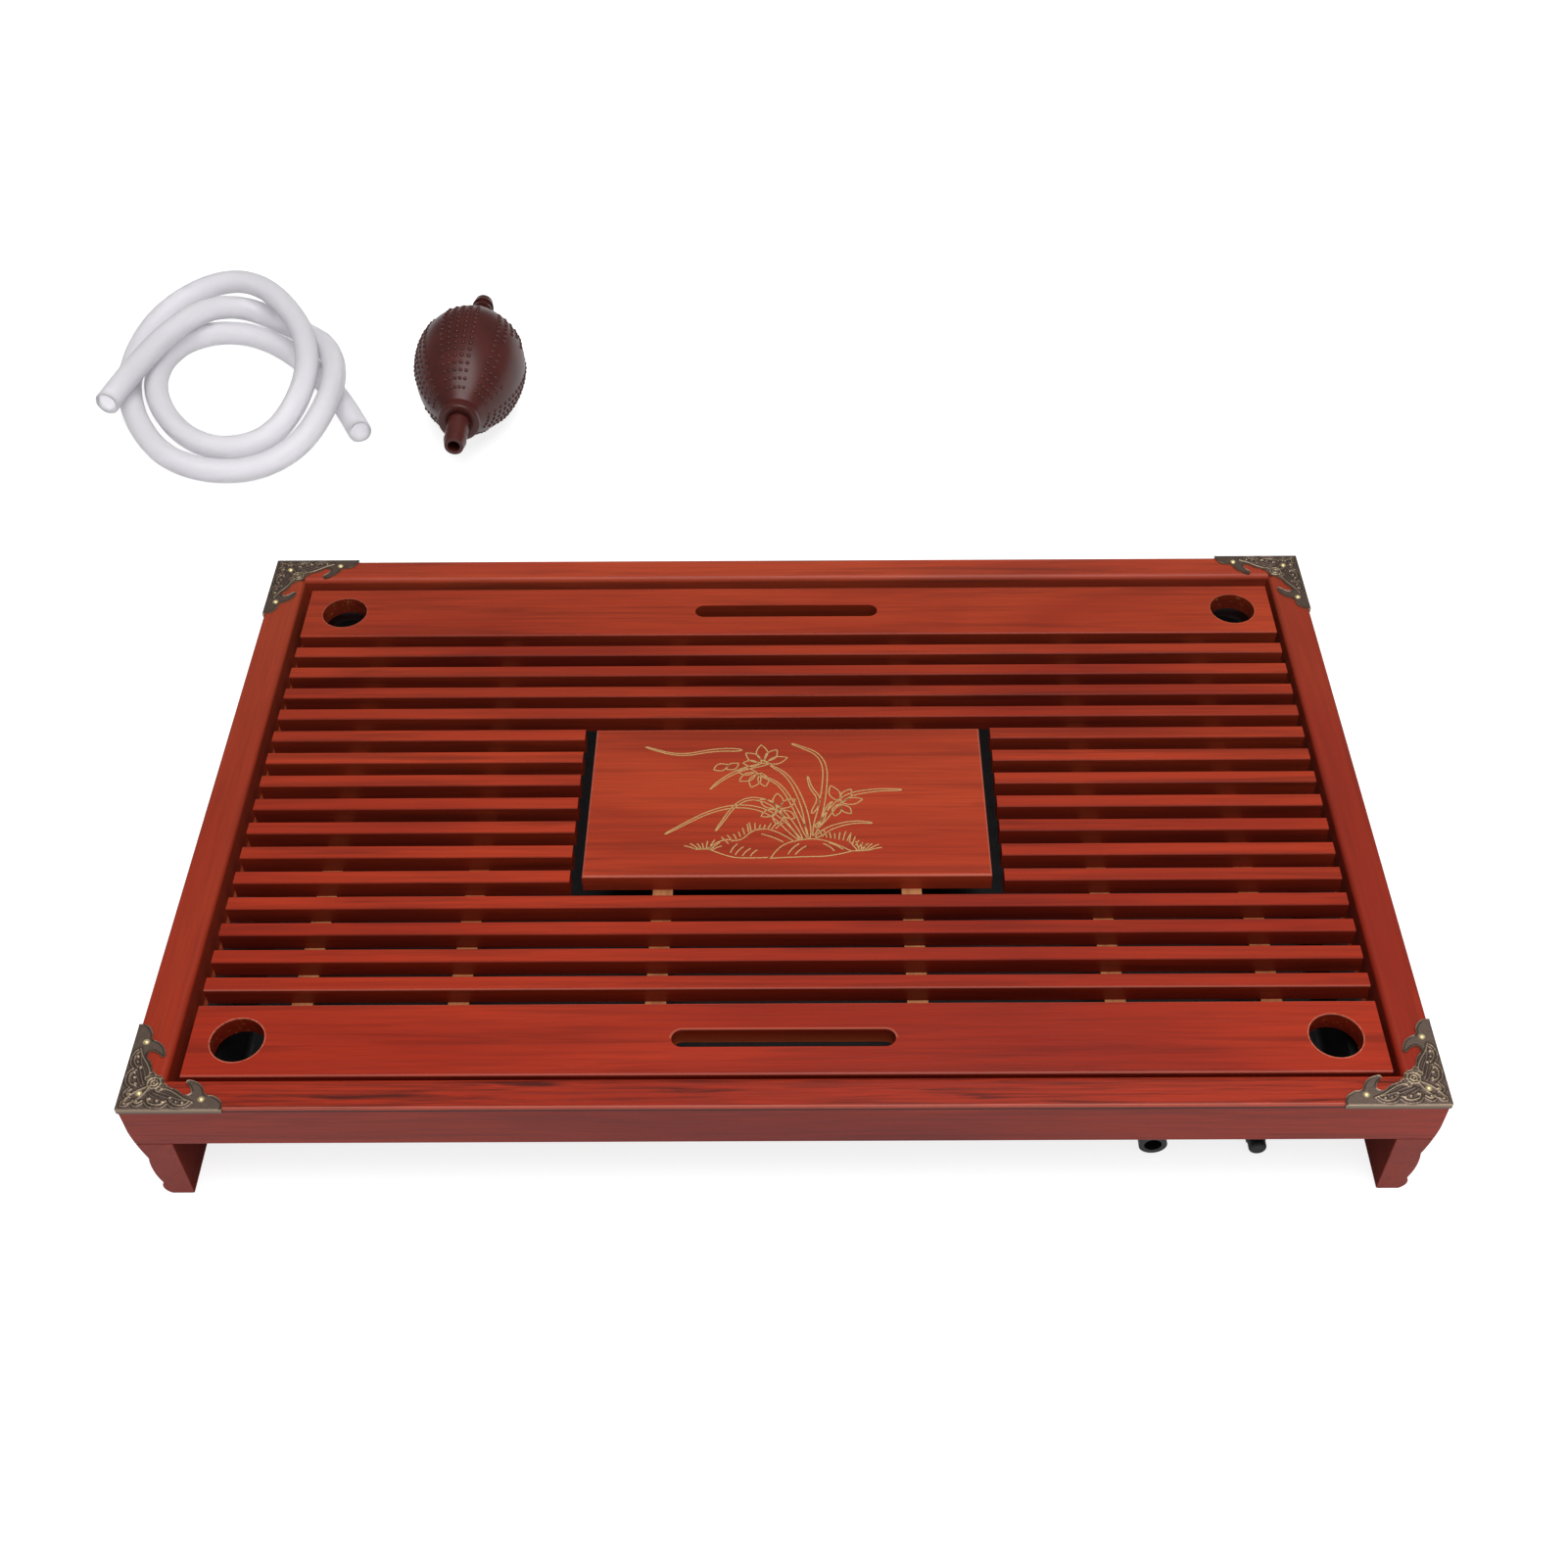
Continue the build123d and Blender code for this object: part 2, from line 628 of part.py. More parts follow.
def bulb_body():
    """Half-section of the rubber bulb turned about its own length, with its hollow and two collars."""
    front = -bulb_body_length / 2
    back = bulb_body_length / 2
    widest = back - bulb_widest_share * bulb_body_length
    end = back + bulb_collar_length
    with BuildSketch() as section:
        with BuildLine():
            TangentArc((bulb_radius, widest), (bulb_shoulder_radius, front), tangent=(0, -1))
            TangentArc((bulb_radius, widest), (bulb_shoulder_radius, back), tangent=(0, 1))
            Polyline((bulb_shoulder_radius, back), (bulb_collar_radius, end), (nipple_root_radius, end),
                     (nipple_root_radius, end - nipple_stem_length), (0, end - nipple_stem_length),
                     (0, nipple_stem_length - end), (nipple_root_radius, nipple_stem_length - end),
                     (nipple_root_radius, -end), (bulb_collar_radius, -end), (bulb_shoulder_radius, front))
        make_face()
    return revolve(section.sketch, Axis.Y)


def nipple():
    """A barbed nipple with its stem in the collar; its free end points along +Y from 0."""
    barb = nipple_length / nipple_barbs
    points = [(nipple_bore_radius, -nipple_stem_length), (nipple_root_radius, -nipple_stem_length)]
    for step in range(nipple_barbs):
        points.append((nipple_root_radius, step * barb))
        points.append((nipple_radius, step * barb))
    points.append((nipple_root_radius, nipple_length))
    points.append((nipple_bore_radius, nipple_length))
    with BuildSketch() as section:
        with BuildLine():
            Polyline(*points, close=True)
        make_face()
    return revolve(section.sketch, Axis.Y)


bulb_at = Pos(*bulb_place, bulb_radius)
collar_face = bulb_body_length / 2 + bulb_collar_length
save("bulb_back_nipple", bulb_at * Pos(0, collar_face, 0) * nipple())
save("bulb_front_nipple", bulb_at * Rot(0, 0, 180) * Pos(0, collar_face, 0) * nipple())
save("suction_bulb", bulb_at * bulb_body())


def on_floor(across, along):
    """A place or direction of the coil, opened by its spread."""
    width, lean, depth = hose_spread_shares
    return Vector(width * across + lean * along, depth * along)


def heading_vector(heading, climb):
    """Direction of a heading and a climb, both in turns."""
    turn, rise = 2 * pi * heading, 2 * pi * climb
    return on_floor(cos(turn), sin(turn)).normalized() * cos(rise) + Vector(0, 0, sin(rise))


def hose_stations():
    """Points and directions of the hose's middle line, with a straight end before and after."""
    width = 2 * hose_radius
    centre = Vector(*hose_place, hose_radius)
    stations = [
        (centre + on_floor(across, along) * width + Vector(0, 0, layer * (width + hose_layer_gap)),
         heading_vector(heading, climb))
        for across, along, heading, layer, climb in hose_station_shares
    ]
    first, start = stations[0]
    last, finish = stations[-1]
    return [(first - start * hose_end_straight, start), *stations, (last + finish * hose_end_straight, finish)]


def biarc(point, direction, next_point, next_direction):
    """Two arcs that leave one station and reach the next one smoothly, or a line where both agree."""
    step = next_point - point
    if max(direction.get_angle(step), next_direction.get_angle(step)) < hose_straight_degrees:
        return [Line(point, next_point)]
    both = direction + next_direction
    square = both.dot(both) - 4
    slope = step.dot(both)
    reach = (slope - sqrt(slope ** 2 - square * step.dot(step))) / square
    near = point + direction * reach
    far = next_point - next_direction * reach
    joint = (near + far) / 2
    return [TangentArc(point, joint, tangent=direction), TangentArc(joint, next_point, tangent=far - near)]


def least_gap(path):
    """The smallest room between two stretches of the hose, measured on points of its middle line."""
    count = int(path.length / hose_measure_step)
    points = [path.position_at(step / count) for step in range(count + 1)]
    apart = int(2 * pi * hose_radius / hose_measure_step)
    nearest = min(
        (points[one] - points[other]).length
        for one in range(count + 1) for other in range(one + apart, count + 1)
    )
    return nearest - 2 * hose_radius


def drain_hose():
    stations = hose_stations()
    edges = []
    for (point, direction), (next_point, next_direction) in zip(stations, stations[1:]):
        edges += biarc(point, direction, next_point, next_direction)
    path = Wire([edge for piece in edges for edge in piece.edges()])
    start = Plane(origin=stations[0][0], z_dir=stations[0][1])
    wall = start * (Circle(hose_radius) - Circle(hose_bore_radius))
    hose = sweep(wall, path=path)
    print("hose length", round(path.length), "least gap to itself", round(least_gap(path), 2))
    print("hose volume", round(hose.volume), "of", round(wall.area * path.length))
    return hose


save("drain_hose", drain_hose())
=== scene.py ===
from math import cos, hypot, pi, radians, sin, sqrt

import bmesh
import bpy
import numpy as np
from mathutils import Matrix, Vector


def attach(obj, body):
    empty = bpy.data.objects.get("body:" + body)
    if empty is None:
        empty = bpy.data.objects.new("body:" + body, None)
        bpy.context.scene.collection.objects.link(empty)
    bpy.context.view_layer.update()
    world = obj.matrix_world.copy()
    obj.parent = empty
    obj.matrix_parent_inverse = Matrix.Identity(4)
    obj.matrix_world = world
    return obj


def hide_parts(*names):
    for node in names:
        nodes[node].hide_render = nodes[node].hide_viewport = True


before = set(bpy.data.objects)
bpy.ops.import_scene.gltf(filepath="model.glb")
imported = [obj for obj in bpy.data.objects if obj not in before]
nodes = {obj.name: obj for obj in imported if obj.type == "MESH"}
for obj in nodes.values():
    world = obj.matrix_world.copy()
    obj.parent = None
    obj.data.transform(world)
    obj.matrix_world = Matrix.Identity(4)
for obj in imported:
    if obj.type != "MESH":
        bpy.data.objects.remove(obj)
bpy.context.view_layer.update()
print("frame loaded:", len(nodes), "nodes")


# camera, floor and light

camera = {
    "place": (0.01076, -0.66252, 0.7508),
    "pitch": 48.26,      # degrees below the horizon
    "yaw": 0.234,
    "roll": -0.426,
    "lens": 42.02,
    "sensor": 36,
    "shift": (-0.01096, 0.05782),
    "reach": (0.01, 50),
}


def placeCamera():
    data = bpy.data.cameras.new("photoView")
    data.lens = camera["lens"]
    data.sensor_width = camera["sensor"]
    data.shift_x, data.shift_y = camera["shift"]
    data.clip_start, data.clip_end = camera["reach"]
    data.dof.use_dof = False
    view = bpy.data.objects.new("photoView", data)
    bpy.context.scene.collection.objects.link(view)
    turn = (Matrix.Rotation(radians(camera["yaw"]), 4, "Z")
            @ Matrix.Rotation(radians(90 - camera["pitch"]), 4, "X")
            @ Matrix.Rotation(radians(camera["roll"]), 4, "Z"))
    view.matrix_world = Matrix.Translation(camera["place"]) @ turn
    bpy.context.scene.camera = view


placeCamera()


def addNode(tree, kind, inputs=None, **settings):       # an input is a socket to link or a value
    made = tree.nodes.new(kind)
    for key, value in settings.items():
        setattr(made, key, value)
    for key, value in (inputs or {}).items():
        if isinstance(value, bpy.types.NodeSocket):
            tree.links.new(value, made.inputs[key])
        else:
            made.inputs[key].default_value = value
    return made


def startMaterial(name, settings):
    material = bpy.data.materials.new(name)
    material.use_nodes = True
    tree = material.node_tree
    tree.nodes.clear()
    shader = addNode(tree, "ShaderNodeBsdfPrincipled", settings)
    output = addNode(tree, "ShaderNodeOutputMaterial")
    tree.links.new(shader.outputs[0], output.inputs["Surface"])
    return material, tree, shader


def objectPoints(tree, scale=(1, 1, 1), place=(0, 0, 0)):
    source = addNode(tree, "ShaderNodeTexCoord")
    moved = addNode(tree, "ShaderNodeMapping", {"Vector": source.outputs["Object"], "Scale": scale,
                                                "Location": place})
    return moved.outputs[0]


def noise(tree, vector, scale, detail=4.0, rough=0.55, bend=0.0):
    return addNode(tree, "ShaderNodeTexNoise", {"Vector": vector, "Scale": scale, "Detail": detail,
                                                "Roughness": rough, "Distortion": bend}).outputs["Fac"]


def ramp(tree, factor, stops):
    made = addNode(tree, "ShaderNodeValToRGB", {"Fac": factor})
    points = made.color_ramp.elements
    while len(points) < len(stops):
        points.new(0.5)
    for point, (place, value) in zip(points, stops):
        point.position = place
        point.color = (*value, 1) if isinstance(value, tuple) else (value, value, value, 1)
    return made.outputs["Color"]


def mix(tree, factor, first, second, way="MIX"):
    made = addNode(tree, "ShaderNodeMix", data_type="RGBA", blend_type=way)
    for socket, value in ((made.inputs[0], factor), (made.inputs[6], first), (made.inputs[7], second)):
        if isinstance(value, bpy.types.NodeSocket):
            tree.links.new(value, socket)
        elif isinstance(value, tuple):
            socket.default_value = (*value, 1)
        else:
            socket.default_value = value
    return made.outputs[2]


def math(tree, way, first, second=0.0, third=0.0):
    made = addNode(tree, "ShaderNodeMath", operation=way)
    for socket, value in zip(made.inputs, (first, second, third)):
        if isinstance(value, bpy.types.NodeSocket):
            tree.links.new(value, socket)
        else:
            socket.default_value = value
    return made.outputs[0]


def times(tree, first, *others):
    for other in others:
        first = math(tree, "MULTIPLY", first, other)
    return first


def distance(tree, first, second):       # of two gaps at right angles
    return math(tree, "SQRT", math(tree, "ADD", times(tree, first, first), times(tree, second, second)))


def darken(tree, colour, share):
    grey = addNode(tree, "ShaderNodeCombineColor", {"Red": share, "Green": share, "Blue": share})
    return mix(tree, 1.0, colour, grey.outputs[0], "MULTIPLY")


def addBump(tree, shader, height, depth, strength):
    made = addNode(tree, "ShaderNodeBump", {"Height": height, "Distance": depth, "Strength": strength})
    tree.links.new(made.outputs[0], shader.inputs["Normal"])


floorLook = {
    "size": 12.0,
    "colour": (0.50, 0.50, 0.51),
    "rough": 0.9,
    "specular": 0.1,
    "shown": 0.80,       # its glow to the camera
    "mirrored": 0.50,    # its glow in reflections
}


def makeFloor():
    shape = bmesh.new()
    bmesh.ops.create_grid(shape, x_segments=2, y_segments=2, size=floorLook["size"] / 2)
    data = bpy.data.meshes.new("floor")
    shape.to_mesh(data)
    shape.free()
    floor = bpy.data.objects.new("floor", data)
    bpy.context.scene.collection.objects.link(floor)
    material, tree, shader = startMaterial("paleFloor", {
        "Base Color": (*floorLook["colour"], 1), "Roughness": floorLook["rough"],
        "Specular IOR Level": floorLook["specular"]})
    rays = addNode(tree, "ShaderNodeLightPath").outputs
    seen = times(tree, math(tree, "MAXIMUM", rays["Is Camera Ray"], rays["Is Transmission Ray"]),
                 floorLook["shown"])
    tree.links.new(math(tree, "MULTIPLY_ADD", rays["Is Glossy Ray"], floorLook["mirrored"], seen),
                   shader.inputs["Emission Strength"])
    shader.inputs["Emission Color"].default_value = (1, 1, 1, 1)
    data.materials.append(material)


lights = {
    "world": {"diffuse": 0.27, "glossy": 0.12},
    "overhead": {"place": (0.2, -0.25, 2.2), "aim": (0, 0, 0), "size": 2.0, "power": 49.0},
    "front": {"place": (0.5, -2.2, 1.1), "aim": (0, 0, 0.05), "size": 1.8, "power": 5.0},
}


def makeLights():
    world = bpy.data.worlds.new("studio")
    bpy.context.scene.world = world
    world.use_nodes = True
    tree = world.node_tree
    tree.nodes.clear()
    rays = addNode(tree, "ShaderNodeLightPath").outputs
    seen = math(tree, "MAXIMUM", rays["Is Camera Ray"], rays["Is Transmission Ray"])
    look = lights["world"]
    unseen = math(tree, "MULTIPLY_ADD", rays["Is Glossy Ray"], look["glossy"] - look["diffuse"],
                  look["diffuse"])
    strength = math(tree, "MAXIMUM", seen, unseen)
    glow = addNode(tree, "ShaderNodeBackground", {"Color": (1, 1, 1, 1), "Strength": strength})
    output = addNode(tree, "ShaderNodeOutputWorld")
    tree.links.new(glow.outputs[0], output.inputs[0])
    for name in ("overhead", "front"):
        look = lights[name]
        data = bpy.data.lights.new(name, "AREA")
        data.shape = "SQUARE"
        data.size = look["size"]
        data.energy = look["power"]
        lamp = bpy.data.objects.new(name, data)
        bpy.context.scene.collection.objects.link(lamp)
        lamp.location = look["place"]
        aim = Vector(look["aim"]) - Vector(look["place"])
        lamp.rotation_euler = aim.to_track_quat("-Z", "Y").to_euler()


makeFloor()
makeLights()
bpy.context.scene.view_settings.view_transform = "Standard"
print("camera, floor and light placed")


# finishes

woodLook = {        # "streaks" and "top" say how far the streaks show at the sides and on top
    "deckWood": {"along": "X", "bright": (0.425, 0.031, 0.010), "deep": (0.265, 0.015, 0.006),
                 "streak": (0.110, 0.010, 0.005), "streaks": 0.45, "top": 0.45, "shift": (0.0, 0.0, 0.0)},
    "railWood": {"along": "X", "bright": (0.430, 0.035, 0.012), "deep": (0.265, 0.018, 0.008),
                 "streak": (0.060, 0.010, 0.007), "streaks": 0.35, "top": 0.9, "shift": (0.3, 0.1, 0.0),
                 "fine": 1.8},
    "backRailWood": {"along": "X", "bright": (0.490, 0.040, 0.013), "deep": (0.350, 0.024, 0.010),
                     "streak": (0.110, 0.014, 0.008), "streaks": 0.4, "top": 0.5, "shift": (0.8, 0.6, 0.0)},
    "sideWood": {"along": "Y", "bright": (0.350, 0.032, 0.012), "deep": (0.270, 0.018, 0.008),
                 "streak": (0.130, 0.012, 0.006), "streaks": 0.25, "top": 0.25, "shift": (0.1, 0.4, 0.2)},
    "plateWood": {"along": "X", "bright": (0.445, 0.038, 0.012), "deep": (0.320, 0.022, 0.008),
                  "streak": (0.140, 0.013, 0.006), "streaks": 0.4, "top": 0.4, "shift": (0.7, 0.3, 0.1)},
    "battenWood": {"along": "Y", "bright": (0.520, 0.230, 0.095), "deep": (0.380, 0.120, 0.045),
                   "streak": (0.160, 0.040, 0.015), "streaks": 0.4, "top": 0.4, "shift": (0.2, 0.9, 0.4)},
    "cleatWood": {"along": "X", "bright": (0.330, 0.060, 0.020), "deep": (0.240, 0.035, 0.012),
                  "streak": (0.120, 0.020, 0.010), "streaks": 0.4, "top": 0.4, "shift": (0.5, 0.2, 0.6)},
}
grainLook = {        # scale along and across, detail, roughness, bend, and where it starts and is full
    "patches": (4, 16, 3.0, 0.5, 0.4, 0.35, 0.68),
    "bands": (6, 150, 6.0, 0.62, 0.7, 0.50, 0.66),
    "lines": (9, 330, 4.0, 0.6, 0.5, 0.48, 0.70),
    "fibres": (30, 900, 3.0, 0.6, 0.0, 0.40, 0.75),
    "lineShare": 0.7, "fibreShare": 0.25,
    "specular": 0.21,
    "shine": (0.16, 0.26),       # how much the fibres roughen it, and its least roughness
    "bump": (0.0002, 0.35),
}
backTint = {"colour": (1.0, 1.75, 1.9), "rate": 2.6, "middle": 0.5}      # the colour turns warmer towards the back
topHeight = 0.0692               # above it lies the tray's upper face
sideShade = 0.66                 # painted shade on the deck boards' side faces below the top, as a share of their colour
# painted highlight line along the upper edges of the front deck board and the middle plate
edgeHighlight = {
    "height": 0.0691, "reach": 0.00035, "front": -0.125, "share": 0.34, "colour": (0.60, 0.17, 0.12),
}
# painted highlight along the front rail's front edge, and a dark line just below it
railEdge = {
    "inner": -0.1930, "height": 0.0683, "share": 0.38, "colour": (0.60, 0.17, 0.12),
    "outer": -0.1939, "line": (0.0676, 0.0006), "depth": 0.95, "dark": (0.06, 0.004, 0.003),
}
# the rim is a painted highlight round the holes' edges, broken up by chipped wear and stronger at the front
# holes; the walls are bare wood
fingerHoles = {
    "centre": (0.0012, -0.0039), "reach": (0.2540, 0.15175), "radius": 0.0125, "play": 0.0001,
    "rim": 0.00055, "share": 0.6, "behind": 0.25, "colour": (0.62, 0.20, 0.12),
    "torn": (420.0, 3.0, 0.7), "chips": ((0.35, 0.25), (0.6, 1.0)),
    "tears": ((0.60, 0.0), (0.68, 0.7)), "raw": (0.50, 0.13, 0.035),
}
# the rim is a painted highlight along the front slot's far edge; the wall is bare wood, barer deeper down
slots = {
    "straight": 0.0470, "radius": 0.0050, "play": 0.0001, "rim": 0.0009, "share": 0.28,
    "top": 0.0695, "depth": 0.010, "bare": 0.6, "raw": (0.80, 0.16, 0.05),
}
# painted shade on the legs' inner faces, which are also made rougher
legInnerShade = {"reach": 0.2815, "height": 0.0415, "share": 0.55, "rough": 0.6}


def holeWearAndHighlight(tree, place, onTop, atFront, colour):
    look = fingerHoles
    gaps = []
    for axis, middle, reach in zip("XY", look["centre"], look["reach"]):
        side = math(tree, "ABSOLUTE", math(tree, "SUBTRACT", place[axis], middle))
        gaps.append(math(tree, "SUBTRACT", side, reach))
    away = distance(tree, *gaps)
    torn = noise(tree, objectPoints(tree), *look["torn"])
    # painted highlight along the rim, broken up by chips of wear
    rim = times(tree, math(tree, "COMPARE", away, look["radius"], look["rim"]), look["share"],
                math(tree, "GREATER_THAN", place["Z"], edgeHighlight["height"]),
                math(tree, "MULTIPLY_ADD", atFront, 1 - look["behind"], look["behind"]))
    colour = mix(tree, times(tree, rim, ramp(tree, torn, look["chips"])), colour, look["colour"])
    wall = times(tree, math(tree, "LESS_THAN", away, look["radius"] + look["play"]),
                 math(tree, "SUBTRACT", 1.0, onTop))
    colour = mix(tree, times(tree, wall, ramp(tree, torn, look["tears"])), colour, look["raw"])
    return slotHighlightAndBareWall(tree, place, onTop, atFront, gaps[1], colour)


def slotHighlightAndBareWall(tree, place, onTop, atFront, gap, colour):       # painted highlight along the front slot's far edge, and its bare wall
    beyond = math(tree, "MAXIMUM", math(tree, "SUBTRACT", math(tree, "ABSOLUTE", place["X"]),
                                        slots["straight"]))
    away = distance(tree, beyond, gap)
    rim = times(tree, math(tree, "COMPARE", away, slots["radius"], slots["rim"]),
                math(tree, "LESS_THAN", gap, 0.0), onTop, atFront)
    colour = mix(tree, times(tree, rim, slots["share"]), colour, fingerHoles["colour"])
    deep = math(tree, "MAXIMUM", math(tree, "SUBTRACT", slots["top"], place["Z"]))
    bare = times(tree, deep, deep, slots["bare"] / slots["depth"] ** 2)
    wall = times(tree, math(tree, "LESS_THAN", away, slots["radius"] + slots["play"]), atFront)
    return mix(tree, times(tree, wall, bare), colour, slots["raw"])


def railHighlightAndDarkLine(tree, place, colour):       # painted highlight along its front edge, and a dark line painted just below it
    look = railEdge
    edge = times(tree, math(tree, "LESS_THAN", place["Y"], look["inner"]),
                 math(tree, "GREATER_THAN", place["Z"], look["height"]))
    colour = mix(tree, times(tree, edge, look["share"]), colour, look["colour"])
    below = times(tree, math(tree, "LESS_THAN", place["Y"], look["outer"]),
                  math(tree, "COMPARE", place["Z"], *look["line"]))
    return mix(tree, times(tree, below, look["depth"]), colour, look["dark"])


def woodMaterial(name):
    look = woodLook[name]
    material, tree, shader = startMaterial(name, {"Specular IOR Level": grainLook["specular"]})

    def grain(layer, finer=1.0):       # the noise, and how far it shows
        along, across, detail, rough, bend, start, full = grainLook[layer]
        along, across = along * finer, across * finer
        scale = (along, across, across) if look["along"] == "X" else (across, along, across)
        found = noise(tree, objectPoints(tree, scale, look["shift"]), 1.0, detail, rough, bend)
        return found, ramp(tree, found, ((start, 0.0), (full, 1.0)))

    place = addNode(tree, "ShaderNodeSeparateXYZ", {"Vector": objectPoints(tree)}).outputs
    onTop = math(tree, "GREATER_THAN", place["Z"], topHeight)
    streaks = math(tree, "MULTIPLY_ADD", onTop, look["top"] - look["streaks"], look["streaks"])
    fine = look.get("fine", 1.0)
    fibres, fibresShown = grain("fibres")
    colour = mix(tree, grain("patches")[1], look["bright"], look["deep"])
    colour = mix(tree, times(tree, grain("bands", fine)[1], streaks), colour, look["streak"])
    colour = mix(tree, times(tree, grain("lines", fine)[1], times(tree, streaks, grainLook["lineShare"])),
                 colour, look["streak"])
    colour = mix(tree, times(tree, fibresShown, grainLook["fibreShare"]), colour, look["streak"])
    if name == "deckWood":
        # painted shade: the deck boards' side faces are darkened below the top
        colour = darken(tree, colour, math(tree, "MULTIPLY_ADD", onTop, 1 - sideShade, sideShade))
    if name in ("deckWood", "plateWood"):       # painted highlight along the upper edges
        edge = math(tree, "COMPARE", place["Z"], edgeHighlight["height"], edgeHighlight["reach"])
        atFront = math(tree, "LESS_THAN", place["Y"], edgeHighlight["front"])
        if name == "deckWood":
            edge = times(tree, edge, atFront)
        colour = mix(tree, times(tree, edge, edgeHighlight["share"]), colour, edgeHighlight["colour"])
    if name == "deckWood":
        colour = holeWearAndHighlight(tree, place, onTop, atFront, colour)
    if name == "railWood":
        colour = railHighlightAndDarkLine(tree, place, colour)
    if name == "sideWood":
        inside = times(tree, math(tree, "LESS_THAN", math(tree, "ABSOLUTE", place["X"]), legInnerShade["reach"]),
                       math(tree, "LESS_THAN", place["Z"], legInnerShade["height"]))
        # painted shade: the legs' inner faces are darkened
        colour = darken(tree, colour, math(tree, "MULTIPLY_ADD", inside, legInnerShade["share"] - 1, 1.0))
    if name not in ("battenWood", "cleatWood"):
        farther = math(tree, "MULTIPLY_ADD", place["Y"], backTint["rate"], backTint["middle"])
        colour = mix(tree, 1.0, colour, mix(tree, farther, (1.0, 1.0, 1.0), backTint["colour"]), "MULTIPLY")
    tree.links.new(colour, shader.inputs["Base Color"])
    shine = math(tree, "MULTIPLY_ADD", fibres, *grainLook["shine"])
    if name == "sideWood":
        shine = math(tree, "MULTIPLY_ADD", inside, legInnerShade["rough"], shine)
    tree.links.new(shine, shader.inputs["Roughness"])
    addBump(tree, shader, fibres, *grainLook["bump"])
    return material


materials = {name: woodMaterial(name) for name in woodLook}


plainLook = {        # its settings, the blotches' colour, how far they show, their scale and the bump
    "screwSteel": ({"Base Color": (0.55, 0.55, 0.56, 1), "Metallic": 1.0, "Roughness": 0.34},
                   (0.35, 0.34, 0.33), 0.5, 300.0, 0.0),
    "nailBrass": ({"Base Color": (0.86, 0.70, 0.38, 1), "Metallic": 0.65, "Roughness": 0.42},
                  (0.50, 0.38, 0.18), 0.4, 900.0, 0.0),
    "blackPlastic": ({"Base Color": (0.008, 0.008, 0.009, 1), "Roughness": 0.38, "Specular IOR Level": 0.4},
                     (0.02, 0.02, 0.021), 0.5, 500.0, 0.00005),
    "blackRubber": ({"Base Color": (0.011, 0.011, 0.012, 1), "Roughness": 0.6},
                    (0.024, 0.023, 0.023), 0.5, 700.0, 0.00005),
    "brownRubber": ({"Base Color": (0.090, 0.018, 0.014, 1), "Roughness": 0.35, "Specular IOR Level": 0.4},
                    (0.055, 0.013, 0.011), 0.8, 60.0, 0.0),
    "milkySilicone": ({"Base Color": (0.95, 0.935, 0.965, 1), "Roughness": 0.4, "Transmission Weight": 0.55,
                       "IOR": 1.3, "Subsurface Weight": 0.25, "Subsurface Radius": (0.9, 0.9, 1.0),
                       "Subsurface Scale": 0.003}, (0.92, 0.905, 0.935), 0.4, 40.0, 0.0),
    "tanInlay": ({"Base Color": (0.55, 0.33, 0.13, 1), "Roughness": 0.55, "Specular IOR Level": 0.3},
                 (0.42, 0.22, 0.08), 0.6, 900.0, 0.0),
}


blotchLook = {"start": 0.3, "full": 0.7, "bump": 0.5}


def plainMaterial(name):
    settings, tint, spread, scale, depth = plainLook[name]
    material, tree, shader = startMaterial(name, settings)
    speckle = noise(tree, objectPoints(tree), scale)
    blotches = ramp(tree, speckle, ((blotchLook["start"], 0.0), (blotchLook["full"], spread)))
    tree.links.new(mix(tree, blotches, settings["Base Color"][:3], tint), shader.inputs["Base Color"])
    if depth:
        addBump(tree, shader, speckle, depth, blotchLook["bump"])
    return material


materials.update({name: plainMaterial(name) for name in plainLook})


brassLook = {
    "metal": 0.75, "specular": 0.4,
    "speckle": 1400.0, "blotch": 0.3,
    "stops": ((0.10, (0.070, 0.045, 0.040)), (0.50, (0.175, 0.125, 0.098)), (0.95, (0.430, 0.335, 0.210))),
    "rough": (0.2, 0.32),
    "bump": (0.00012, 0.5),
}


def brassMaterial():       # dark patina in the hollows of the relief, and a painted highlight on its crowns, outer edges and cut outline
    look = brassLook
    material, tree, shader = startMaterial("antiqueBrass", {
        "Metallic": look["metal"], "Specular IOR Level": look["specular"]})
    relief = addNode(tree, "ShaderNodeAttribute", attribute_name="relief").outputs["Fac"]
    speckle = noise(tree, objectPoints(tree), look["speckle"])
    patinaAndHighlight = math(tree, "ADD", relief, times(tree, math(tree, "SUBTRACT", speckle, 0.5), look["blotch"]))
    tree.links.new(ramp(tree, patinaAndHighlight, look["stops"]), shader.inputs["Base Color"])
    tree.links.new(math(tree, "MULTIPLY_ADD", speckle, *look["rough"]), shader.inputs["Roughness"])
    addBump(tree, shader, speckle, *look["bump"])
    return material


materials["antiqueBrass"] = brassMaterial()


def finishOf(name):
    if name.startswith("deck_batten"):
        return "battenWood"
    if name.endswith("_cleat"):
        return "cleatWood"
    if name.endswith("_screws"):
        return "screwSteel"
    if name == "corner_mount_nails":
        return "nailBrass"
    if name.startswith("corner_mount"):
        return "antiqueBrass"
    if name in ("front_rail", "back_rail"):
        return "railWood" if name == "front_rail" else "backRailWood"
    if name.endswith("_end_board"):
        return "sideWood"
    if name == "centre_plate":
        return "plateWood"
    if name.endswith("_seal") or name == "outlet_plug":
        return "blackRubber"
    if name == "water_pan" or name.startswith(("drain_elbow", "drain_nut", "spare_")):
        return "blackPlastic"
    if name.startswith(("suction_bulb", "bulb_")):
        return "brownRubber"
    if name == "drain_hose":
        return "milkySilicone"
    return "deckWood"


